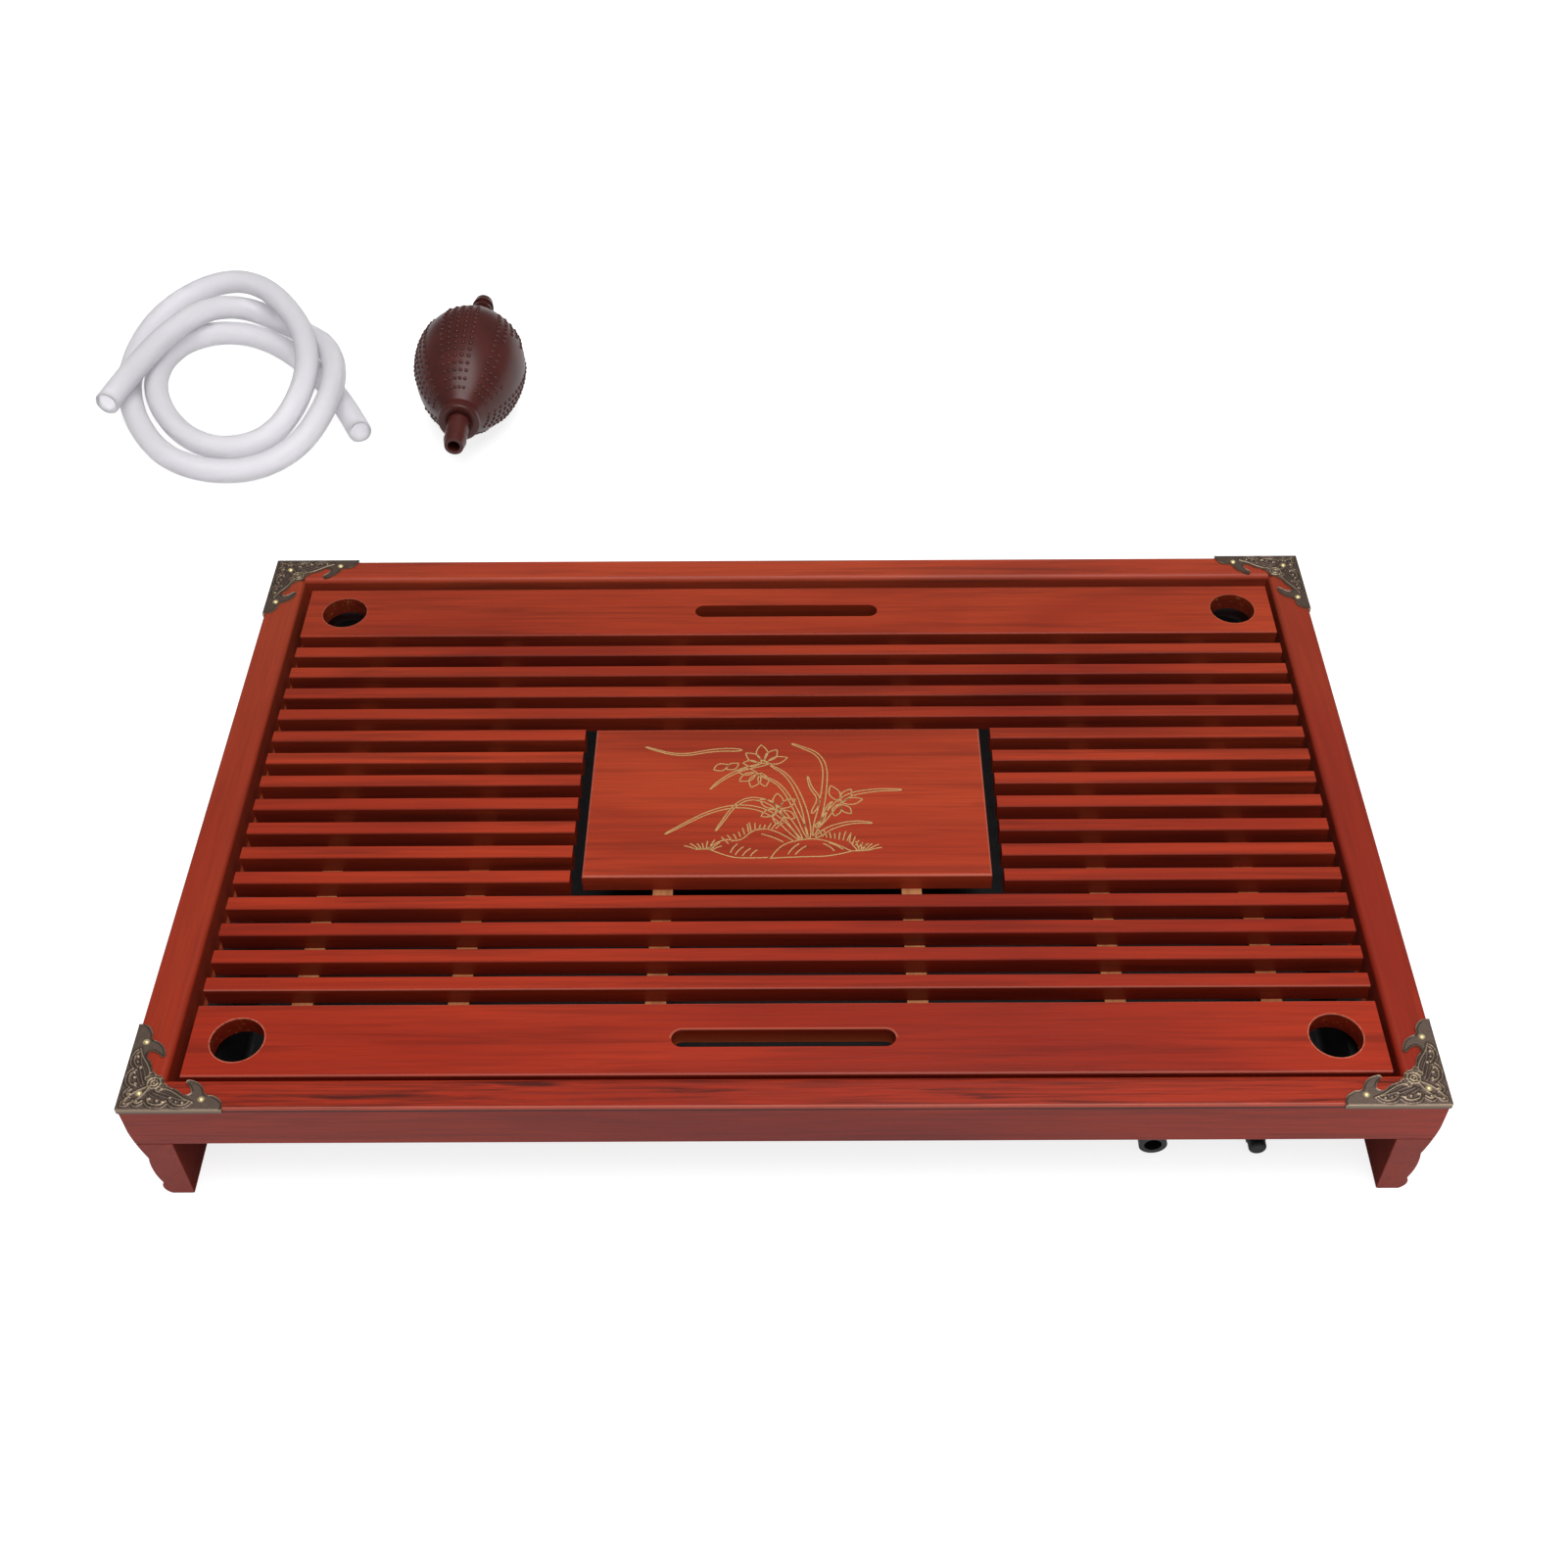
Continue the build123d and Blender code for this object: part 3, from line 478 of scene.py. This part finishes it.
for name, part in nodes.items():
    part.data.materials.clear()
    part.data.materials.append(materials[finishOf(name)])
print("finishes given to", len(nodes), "nodes")


def addPiece(name, data, material, body):
    piece = bpy.data.objects.new(name, data)
    bpy.context.scene.collection.objects.link(piece)
    data.materials.append(materials[material])
    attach(piece, body)
    return piece


# drain hose

hoseLook = {
    "centre": (-0.399, 0.480),
    "spread": (1.03, -0.34, 1.7),       # of a width across to the right, of one along to the right and back
    "radius": 0.0082,
    "wall": 0.0017,
    "layer": 0.0174,        # from one layer of the coil to the next
    "length": 1.353,
    "smooth": (10, 8),      # along and around
    "points": (          # in tube widths across and along the coil, and in layers
        (-4.95, -2.0, 1), (-4.4, -1.15, 1), (-3.5, 0.1, 1), (-2.5, 1.25, 1), (-1.0, 2.35, 1),
        (0.5, 2.95, 0.5), (2.0, 2.75, 0), (3.3, 1.95, 0.1), (4.2, 0.7, 0.8), (4.55, -0.8, 1.12),
        (4.0, -2.1, 0.9), (2.8, -3.3, 0.4), (1.0, -3.95, 0.05), (-1.0, -4.0, 0), (-2.8, -3.4, 0),
        (-4.0, -2.0, 0), (-4.5, -0.4, 0), (-4.25, 1.4, 0), (-3.15, 3.1, 0.08), (-1.45, 3.8, 0.52),
        (0.25, 3.8, 0.98), (1.75, 2.95, 1.4), (3.0, 1.4, 1.5), (3.5, -0.1, 1.35), (3.0, -1.5, 0.8),
        (1.7, -2.7, 0.2), (0.0, -3.1, 0), (-1.6, -2.8, 0), (-2.8, -1.75, 0), (-3.4, -0.4, 0),
        (-3.13, 0.87, 0), (-2.15, 1.8, 0), (-0.6, 2.25, 0), (1.2, 2.0, 0), (2.8, 1.0, 0),
        (4.1, -0.4, 0), (4.8, -1.5, 0), (5.2, -2.35, 0)),
}


def makeHose():
    data = bpy.data.curves.new("drainHose", "CURVE")
    data.dimensions = "3D"
    line = data.splines.new("NURBS")
    line.points.add(len(hoseLook["points"]) - 1)
    radius = hoseLook["radius"]
    width, lean, depth = (2 * radius * share for share in hoseLook["spread"])
    for point, (across, along, layer) in zip(line.points, hoseLook["points"]):
        point.co = (hoseLook["centre"][0] + across * width + along * lean,
                    hoseLook["centre"][1] + along * depth, radius + layer * hoseLook["layer"], 1)
        point.radius = radius
    line.order_u = 3
    line.use_endpoint_u = True
    line.resolution_u, data.bevel_resolution = hoseLook["smooth"]
    data.bevel_depth = 1.0      # times the radius of each point
    data.use_fill_caps = False
    hose = addPiece("drainHose", data, "milkySilicone", "frame")
    wall = hose.modifiers.new("wall", "SOLIDIFY")
    wall.thickness = hoseLook["wall"]
    wall.offset = -1
    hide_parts("drain_hose")


makeHose()
print("drain hose laid")


# corner mounts with their cast relief

mountLook = {
    "top": 0.0703, "lip": 0.0690, "corner": (0.3000, 0.1950),       # metres, and the rest in millimetres
    "leg": 48.0, "step": 0.4,
    "rim": (0.5, 0.34),          # half width and height of the raised rim along the cut edge
    "rimSteps": 8,
    "edgeRound": 0.45, "edgeDrop": 0.00022,      # width, and depth in metres, of the rounded outer edges
    "groove": 0.75,              # how far the dark patina reaches from a ridge
    "dotRise": 0.55,             # height of the dots
    # relief colour shares: groove is the dark patina; cut, edge and the crowns are painted highlight, and
    # the plain ground is lightened as painted sheen
    "shine": {"cut": 0.9, "lip": 0.35, "plain": 0.5, "groove": 0.5, "full": 0.45, "edge": 0.8},
    "outline": (                 # start, middle and end of each arc of the cut edge
                ((48.0, 0.0), (47.3, 4.3), (42.2, 7.8)), ((42.2, 7.8), (40.5, 8.0), (38.8, 9.1)),
                ((38.8, 9.1), (36.0, 13.8), (30.6, 16.3)), ((30.6, 16.3), (29.4, 15.7), (29.7, 14.3)),
                ((29.7, 14.3), (31.9, 11.9), (32.8, 9.4)), ((32.8, 9.4), (31.2, 8.1), (28.6, 8.8)),
                ((28.6, 8.8), (26.3, 10.7), (23.8, 11.8)), ((23.8, 11.8), (22.2, 12.3), (20.9, 13.7)),
                ((20.9, 13.7), (19.4, 14.8), (18.8, 16.2)), ((18.8, 16.2), (18.4, 17.4), (17.6, 17.6))),
    "ridges": (                  # half width, height and the points of each ridge; all are mirrored
        (0.38, 0.36, ((6.2, 4.0), (4.6, 2.0), (2.6, 2.1), (2.2, 2.2))),
        (0.38, 0.36, ((6.2, 4.0), (8.9, 1.3), (12.5, 4.2))),
        (0.38, 0.36, ((12.5, 4.2), (14.6, 1.3), (21.0, 0.9), (23.0, 3.4))),
        (0.38, 0.36, ((23.0, 3.4), (26.0, 0.9), (32.0, 1.3), (34.2, 4.2))),
        (0.46, 0.42, ((7.0, 5.6), (9.0, 3.1), (11.6, 5.2))),
        (0.46, 0.42, ((13.4, 6.6), (14.4, 3.4), (19.6, 2.4), (22.3, 4.9))),
        (0.40, 0.38, ((23.6, 5.2), (26.6, 2.6), (31.0, 2.6), (32.6, 4.4))),
        (0.45, 0.42, ((34.2, 4.2), (29.4, 6.2), (26.2, 8.6), (21.8, 11.2), (18.4, 11.6))),
        (0.34, 0.30, ((31.4, 5.0), (26.0, 6.2), (21.0, 9.0), (17.4, 10.0))),
        (0.34, 0.30, ((25.2, 5.2), (21.6, 6.8), (17.4, 8.4), (15.0, 9.6))),
        (0.34, 0.30, ((20.2, 4.6), (17.8, 6.4), (15.2, 7.6), (13.4, 9.0))),
        (0.45, 0.38, ((3.4, 3.4), (6.4, 3.8), (10.6, 7.4), (13.4, 13.4))),
        (0.36, 0.34, ((15.2, 12.2), (18.6, 10.6), (21.4, 12.2), (19.4, 14.4), (16.8, 14.4))),
        (0.36, 0.34, ((17.2, 12.4), (18.8, 11.9), (19.6, 12.6), (18.6, 13.4))),
    ),
    "rings": (                   # centre, radius, half width and height
             ((14.7, 14.7), 3.0, 0.5, 0.48), ((14.7, 14.7), 1.5, 0.5, 0.5), ((11.4, 17.4), 1.3, 0.4, 0.4)),
    "dots": (                    # centre and radius
             ((14.6, 6.2), 0.75), ((18.0, 5.0), 0.75), ((20.7, 4.4), 0.8), ((23.6, 6.6), 0.6),
             ((29.8, 3.9), 0.8), ((26.8, 4.4), 0.55), ((9.0, 4.9), 0.7), ((14.7, 14.7), 0.6),
             ((3.5, 3.5), 0.5), ((17.2, 17.0), 0.5)),
}


def smoothLine(points, steps=10):       # it starts and ends on the first and the last point
    if len(points) < 3:
        return [Vector(point) for point in points]
    full = [points[0], *points, points[-1]]
    line = []
    for a, b, c in zip(full, full[1:], full[2:]):
        a, b, c = Vector(a), Vector(b), Vector(c)
        for step in range(steps):
            t = step / steps
            line.append((a + b) / 2 * (1 - t) ** 2 + b * 2 * t * (1 - t) + (b + c) / 2 * t ** 2)
    line.append(Vector(points[-1]))
    return line


def lineDistance(places, line):
    points = np.array([tuple(point) for point in line])
    start, run = points[:-1], points[1:] - points[:-1]
    length = np.maximum((run ** 2).sum(1), 1e-9)
    gap = places[:, None, :] - start[None]
    share = np.clip((gap * run[None]).sum(2) / length[None], 0, 1)
    return np.sqrt(((gap - share[..., None] * run[None]) ** 2).sum(2)).min(1)


def reliefHeight(places):       # the height and how close the nearest ridge is, at each place
    height, near = np.zeros(len(places)), np.zeros(len(places))

    def raiseBy(distance, width, rise):
        bead = rise * np.sqrt(np.clip(1 - (distance / width) ** 2, 0, 1))
        np.maximum(height, bead, out=height)
        np.maximum(near, np.clip(1 - (distance - width) / mountLook["groove"], 0, 1), out=near)

    rim = []
    for start, middle, end in mountLook["outline"]:
        bend = tuple(2 * m - (a + b) / 2 for a, m, b in zip(start, middle, end))
        for step in range(mountLook["rimSteps"] + 1):
            t = step / mountLook["rimSteps"]
            rim.append(tuple((1 - t) ** 2 * a + 2 * t * (1 - t) * m + t * t * b
                             for a, m, b in zip(start, bend, end)))
    for flip in (1, -1):
        raiseBy(lineDistance(places, [point[::flip] for point in rim]), *mountLook["rim"])
        for width, rise, points in mountLook["ridges"]:
            raiseBy(lineDistance(places, smoothLine([point[::flip] for point in points])), width, rise)
        for centre, radius, width, rise in mountLook["rings"]:
            away = np.hypot(*(places - np.array(centre[::flip])).T)
            raiseBy(np.abs(away - radius), width, rise)
        for centre, radius in mountLook["dots"]:
            raiseBy(np.hypot(*(places - np.array(centre[::flip])).T), radius, mountLook["dotRise"])
    return zip(height, near)


weld = 1e-6       # corners that are closer become one


def reliefMesh():       # the front left mount, drawn from its own outer corner
    shape = bmesh.new()
    shape.from_mesh(nodes["corner_mount_front_left"].data)
    bmesh.ops.remove_doubles(shape, verts=shape.verts[:], dist=weld)
    bmesh.ops.dissolve_limit(shape, angle_limit=0.01, verts=shape.verts[:], edges=shape.edges[:])
    corner = Vector((mountLook["corner"][0], mountLook["corner"][1], 0))
    bmesh.ops.translate(shape, verts=shape.verts[:], vec=corner)
    step = mountLook["step"] / 1000
    for axis in (Vector((1, 0, 0)), Vector((0, 1, 0))):
        for cut in range(1, int(mountLook["leg"] / mountLook["step"])):
            bmesh.ops.bisect_plane(shape, geom=shape.verts[:] + shape.edges[:] + shape.faces[:],
                                   plane_co=axis * cut * step, plane_no=axis, dist=weld)
    bmesh.ops.triangulate(shape, faces=[face for face in shape.faces if len(face.verts) > 4])
    relief = shape.verts.layers.float.new("relief")
    shine = mountLook["shine"]
    crown = [vert for vert in shape.verts if vert.co.z > mountLook["top"] - 10e-6]
    places = np.array([(vert.co.x * 1000, vert.co.y * 1000) for vert in crown])
    for vert in shape.verts:        # painted highlight on the cut outline; the folded lip is darker
        vert[relief] = shine["cut"] if vert.co.z > mountLook["lip"] else shine["lip"]
    for vert, (x, y), (rise, near) in zip(crown, places, reliefHeight(places)):
        # painted highlight along the rounded outer edges, and painted sheen on the plain ground
        edge = max(0.0, 1 - min(x, y) / mountLook["edgeRound"])
        raised = shine["plain"] - shine["groove"] * near + rise / shine["full"]
        vert[relief] = max(min(1.0, raised), shine["edge"] * edge)
        vert.co.z += rise / 1000 - mountLook["edgeDrop"] * edge ** 2
    for face in shape.faces:
        face.smooth = face.normal.z > 0.5       # only the crown
    data = bpy.data.meshes.new("cornerMount")
    shape.to_mesh(data)
    shape.free()
    return data


def makeMounts():
    first = reliefMesh()
    for name, signX, signY, turn in (("FrontLeft", -1, -1, 0), ("FrontRight", 1, -1, 90),
                                     ("BackRight", 1, 1, 180), ("BackLeft", -1, 1, 270)):
        data = first.copy()
        data.name = "cornerMount" + name
        corner = (signX * mountLook["corner"][0], signY * mountLook["corner"][1], 0)
        data.transform(Matrix.Translation(corner) @ Matrix.Rotation(radians(turn), 4, "Z"))
        mount = addPiece(data.name, data, "antiqueBrass", "frame")
        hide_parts("corner_mount_" + name.replace("Left", "_left").replace("Right", "_right").lower())


makeMounts()
print("corner mounts cast")


# suction bulb

bulbLook = {        # millimetres, but for the centre
    "centre": (-0.221, 0.443, 0.0375),
    "radius": 37.5, "neck": 14.0, "front": -53.25, "back": 53.25, "widest": 6.4,
    "collar": 13.9, "collarEnd": 62.05, "mouth": 6.3, "stem": 14.0,
    "collarRound": ((-1.1, 0.0), (-0.3, -0.35), (0.0, -1.2)),      # from the collar's outer corner
    "neckRound": ((0.0, 1.6), (-0.5, 0.7)),      # from the neck, where the body begins
    "steps": (40, 96),       # along and around
    "dotPitch": 5.0, "dotRows": (-13, 7), "dotShift": 4, "dotEnds": (3, 22),
    "dotRadius": 1.6, "dotShare": (0.55, 0.45), "dotHeight": 0.65, "dotSides": (8, 5),
    "columns": 42, "band": (7, 2),       # 2 of 7 columns are smooth
    "sparse": 17.0,          # within this radius every second column is left out
    "floor": 1.2,            # nearer to the floor there are no dots
    "leaf": (3.0, -10.0, 2.1, 24.0),      # the smooth patch: its column, place, half width and half length
}


def bulbRadius(along):
    reach = bulbLook["radius"] - bulbLook["neck"]
    end = bulbLook["back"] if along > bulbLook["widest"] else bulbLook["front"]
    span = end - bulbLook["widest"]
    curve = (reach ** 2 + span ** 2) / (2 * reach)
    return bulbLook["radius"] - curve + sqrt(curve ** 2 - (along - bulbLook["widest"]) ** 2)


def bulbProfile():
    look = bulbLook
    bottom = look["collarEnd"] - look["stem"]
    half = [(0.0, bottom), (look["mouth"], bottom), (look["mouth"], look["collarEnd"])]
    half += [(look["collar"] + out, look["collarEnd"] + along) for out, along in look["collarRound"]]
    half += [(look["neck"] + out, look["back"] + along) for out, along in look["neckRound"]]
    steps = look["steps"][0]
    body = []
    for step in range(steps + 1):
        along = look["back"] + (look["front"] - look["back"]) * step / steps
        body.append((bulbRadius(along), along))
    return half + body + [(radius, -along) for radius, along in reversed(half)]


def hasDot(radius, along, column, angle):
    look = bulbLook
    period, smooth = look["band"]
    if column % period < smooth or (radius < look["sparse"] and column % 2):
        return False
    middle, place, wide, long = look["leaf"]
    turned = (column - middle) % (look["columns"] // 2)
    if hypot(min(turned, look["columns"] // 2 - turned) / wide, (along - place) / long) < 1:
        return False
    return radius * sin(angle) >= look["floor"] - look["radius"]


def addDots(shape):
    look = bulbLook
    single = bmesh.new()
    around, rings = look["dotSides"]
    bmesh.ops.create_uvsphere(single, u_segments=around, v_segments=rings, radius=1.0)
    dot = bpy.data.meshes.new("raisedDot")
    single.to_mesh(dot)
    single.free()
    least, more = look["dotShare"]
    for row in range(*look["dotRows"]):
        along = look["widest"] - look["dotShift"] + row * look["dotPitch"]
        if not look["front"] + look["dotEnds"][0] < along < look["back"] - look["dotEnds"][1]:
            continue
        radius = bulbRadius(along)
        slope = bulbRadius(along + 0.5) - bulbRadius(along - 0.5)
        for column in range(look["columns"]):
            angle = 2 * pi * column / look["columns"]
            if not hasDot(radius, along, column, angle):
                continue
            out = Vector((cos(angle), -slope, sin(angle))).normalized()
            grow = look["dotRadius"] * (least + more * radius / look["radius"]) / 1000
            turn = out.to_track_quat("Z", "Y").to_matrix().to_4x4()
            middle = (radius * cos(angle) / 1000, along / 1000, radius * sin(angle) / 1000)
            flat = Matrix.Diagonal((grow, grow, grow * look["dotHeight"], 1))
            raised = dot.copy()
            raised.transform(Matrix.Translation(middle) @ turn @ flat)
            shape.from_mesh(raised)
            bpy.data.meshes.remove(raised)


def makeBulb():
    shape = bmesh.new()
    verts = [shape.verts.new((radius / 1000, along / 1000, 0)) for radius, along in bulbProfile()]
    edges = [shape.edges.new(pair) for pair in zip(verts, verts[1:])]
    bmesh.ops.spin(shape, geom=verts + edges, cent=(0, 0, 0), axis=(0, 1, 0), angle=2 * pi,
                   steps=bulbLook["steps"][1], use_merge=True)
    bmesh.ops.remove_doubles(shape, verts=shape.verts[:], dist=weld)
    bmesh.ops.recalc_face_normals(shape, faces=shape.faces[:])
    addDots(shape)
    for face in shape.faces:
        face.smooth = True
    bmesh.ops.translate(shape, verts=shape.verts[:], vec=bulbLook["centre"])
    data = bpy.data.meshes.new("suctionBulb")
    shape.to_mesh(data)
    shape.free()
    bulb = addPiece("suctionBulb", data, "brownRubber", "frame")
    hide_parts("suction_bulb")


makeBulb()
print("suction bulb made")


# line drawing on the middle plate

artLook = {
    "left": -0.0995, "right": 0.1020, "front": -0.0545, "back": 0.0505, "top": 0.0695,       # the plate
    "line": 0.00040, "rise": 0.25,        # half width of a line, and its height as a share of that
    "smooth": (8, 1),        # along and around
    "leafSteps": 6, "leafRoot": 5, "leafTaper": 0.6,      # a leaf widens in a fifth of its length
    "petal": ((0.35, 1.0), (0.75, 0.8)),      # how far along and how wide
    "blade": (0.8, 0.2, 5.1), "droop": 0.0005,       # uneven blades of grass
    "leaves": (          # width in millimetres and points, as shares from the plate's left back corner
        (3.2, ((0.556, 0.765), (0.545, 0.560), (0.505, 0.340), (0.455, 0.265))),
        (2.7, ((0.552, 0.765), (0.520, 0.560), (0.480, 0.390), (0.425, 0.335))),
        (2.4, ((0.380, 0.155), (0.310, 0.150), (0.215, 0.200), (0.125, 0.130))),
        (2.4, ((0.452, 0.250), (0.380, 0.290), (0.330, 0.360), (0.300, 0.430))),
        (3.5, ((0.566, 0.750), (0.595, 0.480), (0.600, 0.200), (0.510, 0.110))),
        (3.2, ((0.575, 0.700), (0.640, 0.480), (0.720, 0.440), (0.795, 0.440))),
        (3.0, ((0.572, 0.760), (0.610, 0.690), (0.670, 0.655), (0.715, 0.665))),
        (3.2, ((0.530, 0.775), (0.450, 0.560), (0.330, 0.540), (0.190, 0.735))),
        (3.0, ((0.538, 0.770), (0.470, 0.520), (0.380, 0.480), (0.318, 0.715))),
        (2.4, ((0.562, 0.600), (0.585, 0.500), (0.560, 0.430), (0.552, 0.345))),
        (2.2, ((0.570, 0.690), (0.590, 0.650), (0.600, 0.560), (0.615, 0.520))),
    ),
    "petals": (          # place, heading in degrees, length and width in millimetres
        ((0.435, 0.235), 95, 12.3, 3.3), ((0.440, 0.240), 55, 11.1, 3.1), ((0.432, 0.245), 140, 11.1, 3.1),
        ((0.442, 0.250), 20, 12.3, 2.9), ((0.428, 0.255), 175, 9.1, 2.6), ((0.425, 0.320), 250, 11.1, 3.3),
        ((0.420, 0.315), 215, 11.1, 3.1), ((0.430, 0.318), 285, 10.4, 3.1), ((0.418, 0.310), 180, 9.8, 2.6),
        ((0.345, 0.260), 205, 8.5, 2.9), ((0.372, 0.250), 215, 7.8, 2.6),
        ((0.478, 0.560), 95, 10.4, 2.9), ((0.480, 0.565), 40, 10.4, 2.9), ((0.474, 0.565), 145, 11.1, 2.9),
        ((0.478, 0.580), 265, 9.8, 2.9), ((0.482, 0.575), 320, 9.8, 2.6), ((0.472, 0.575), 210, 9.1, 2.6),
        ((0.632, 0.520), 110, 12.3, 3.1), ((0.638, 0.520), 60, 10.4, 2.9), ((0.640, 0.530), 15, 11.1, 2.6),
        ((0.632, 0.535), 255, 9.1, 2.6), ((0.636, 0.540), 310, 8.5, 2.4),
    ),
    "lines": (           # rocks and their hatching
        ((0.300, 0.830), (0.335, 0.760), (0.380, 0.790), (0.415, 0.700), (0.470, 0.705), (0.520, 0.790)),
        ((0.305, 0.835), (0.350, 0.885), (0.400, 0.895), (0.452, 0.890)),
        ((0.458, 0.900), (0.475, 0.820), (0.530, 0.770), (0.600, 0.770), (0.660, 0.850)),
        ((0.456, 0.895), (0.540, 0.885), (0.610, 0.885), (0.660, 0.852)),
        ((0.375, 0.800), (0.360, 0.830), (0.358, 0.860)), ((0.390, 0.820), (0.374, 0.845), (0.370, 0.875)),
        ((0.408, 0.830), (0.392, 0.855), (0.388, 0.880)), ((0.425, 0.840), (0.412, 0.860), (0.408, 0.882)),
        ((0.530, 0.800), (0.510, 0.830), (0.502, 0.870)), ((0.548, 0.815), (0.530, 0.840), (0.520, 0.872)),
        ((0.590, 0.800), (0.610, 0.820), (0.618, 0.850)), ((0.605, 0.795), (0.625, 0.812), (0.640, 0.840)),
        ((0.435, 0.735), (0.470, 0.760), (0.490, 0.790)), ((0.660, 0.850), (0.680, 0.850), (0.705, 0.845)),
        ((0.262, 0.830), (0.285, 0.832), (0.305, 0.835)),
    ),
    "grass": (           # first and last place, blades, first and last heading, length in millimetres
        ((0.275, 0.838), (0.312, 0.838), 8, 158, 28, 7.5), ((0.352, 0.800), (0.402, 0.725), 6, 128, 98, 6.0),
        ((0.408, 0.716), (0.470, 0.702), 7, 100, 48, 6.0), ((0.590, 0.757), (0.650, 0.785), 7, 115, 68, 6.5),
        ((0.656, 0.795), (0.688, 0.835), 5, 82, 48, 6.0), ((0.676, 0.848), (0.704, 0.846), 7, 122, 16, 7.5),
    ),
}


def platePoint(share):
    look = artLook
    return Vector((look["left"] + share[0] * (look["right"] - look["left"]),
                   look["back"] + share[1] * (look["front"] - look["back"]), 0))


def drawLine(curve, points):
    line = curve.splines.new("NURBS")
    line.points.add(len(points) - 1)
    for point, place in zip(line.points, points):
        point.co = (place.x, place.y, 0, 1)
        point.radius = artLook["line"]
    line.order_u = min(3, len(points))
    line.use_endpoint_u = True
    line.resolution_u = artLook["smooth"][0]


def leafLines(shares, width):       # the two edges of a long blade, which meet at its tip
    way = smoothLine([tuple(platePoint(share).xy) for share in shares], artLook["leafSteps"])
    points = [Vector((*point, 0)) for point in way]
    edges = [], []
    for number, point in enumerate(points):
        run = points[min(number + 1, len(points) - 1)] - points[max(number - 1, 0)]
        share = number / (len(points) - 1)
        side = Vector((-run.y, run.x, 0)).normalized() * width / 2000
        side = side * min(1, artLook["leafRoot"] * share) * (1 - share) ** artLook["leafTaper"]
        edges[0].append(point + side)
        edges[1].append(point - side)
    return edges


def makeArt():
    curve = bpy.data.curves.new("plateDrawing", "CURVE")
    curve.dimensions = "3D"
    curve.bevel_depth = 1.0
    curve.bevel_resolution = artLook["smooth"][1]
    curve.use_fill_caps = True
    for width, shares in artLook["leaves"]:
        for edge in leafLines(shares, width):
            drawLine(curve, edge)
    for share, heading, length, width in artLook["petals"]:
        root = platePoint(share)
        run = Vector((cos(radians(heading)), sin(radians(heading)), 0)) * length / 1000
        side = Vector((-run.y, run.x, 0)).normalized() * width / 1000
        for way in (1, -1):
            middle = [root + run * reach + side * wide * way for reach, wide in artLook["petal"]]
            drawLine(curve, [root, *middle, root + run])
    for shares in artLook["lines"]:
        drawLine(curve, [platePoint(share) for share in shares])
    least, more, rate = artLook["blade"]
    for first, last, blades, firstHeading, lastHeading, length in artLook["grass"]:
        for blade in range(blades):
            share = blade / (blades - 1)
            foot = platePoint(first).lerp(platePoint(last), share)
            heading = radians(firstHeading + (lastHeading - firstHeading) * share)
            grown = least + more * cos(rate * blade)
            tip = foot + Vector((cos(heading), sin(heading), 0)) * length / 1000 * grown
            drawLine(curve, [foot, foot.lerp(tip, 0.5) + Vector((0, artLook["droop"], 0)), tip])
    drawn = bpy.data.objects.new("plateDrawing", curve)
    bpy.context.scene.collection.objects.link(drawn)
    bpy.context.view_layer.update()
    data = bpy.data.meshes.new_from_object(drawn.evaluated_get(bpy.context.evaluated_depsgraph_get()))
    bpy.data.objects.remove(drawn)
    data.name = "plateDrawing"
    data.transform(Matrix.Translation((0, 0, artLook["top"])) @ Matrix.Diagonal((1, 1, artLook["rise"], 1)))
    data.materials.clear()
    addPiece("plateDrawing", data, "tanInlay", "deck")


makeArt()
print("middle plate drawn")
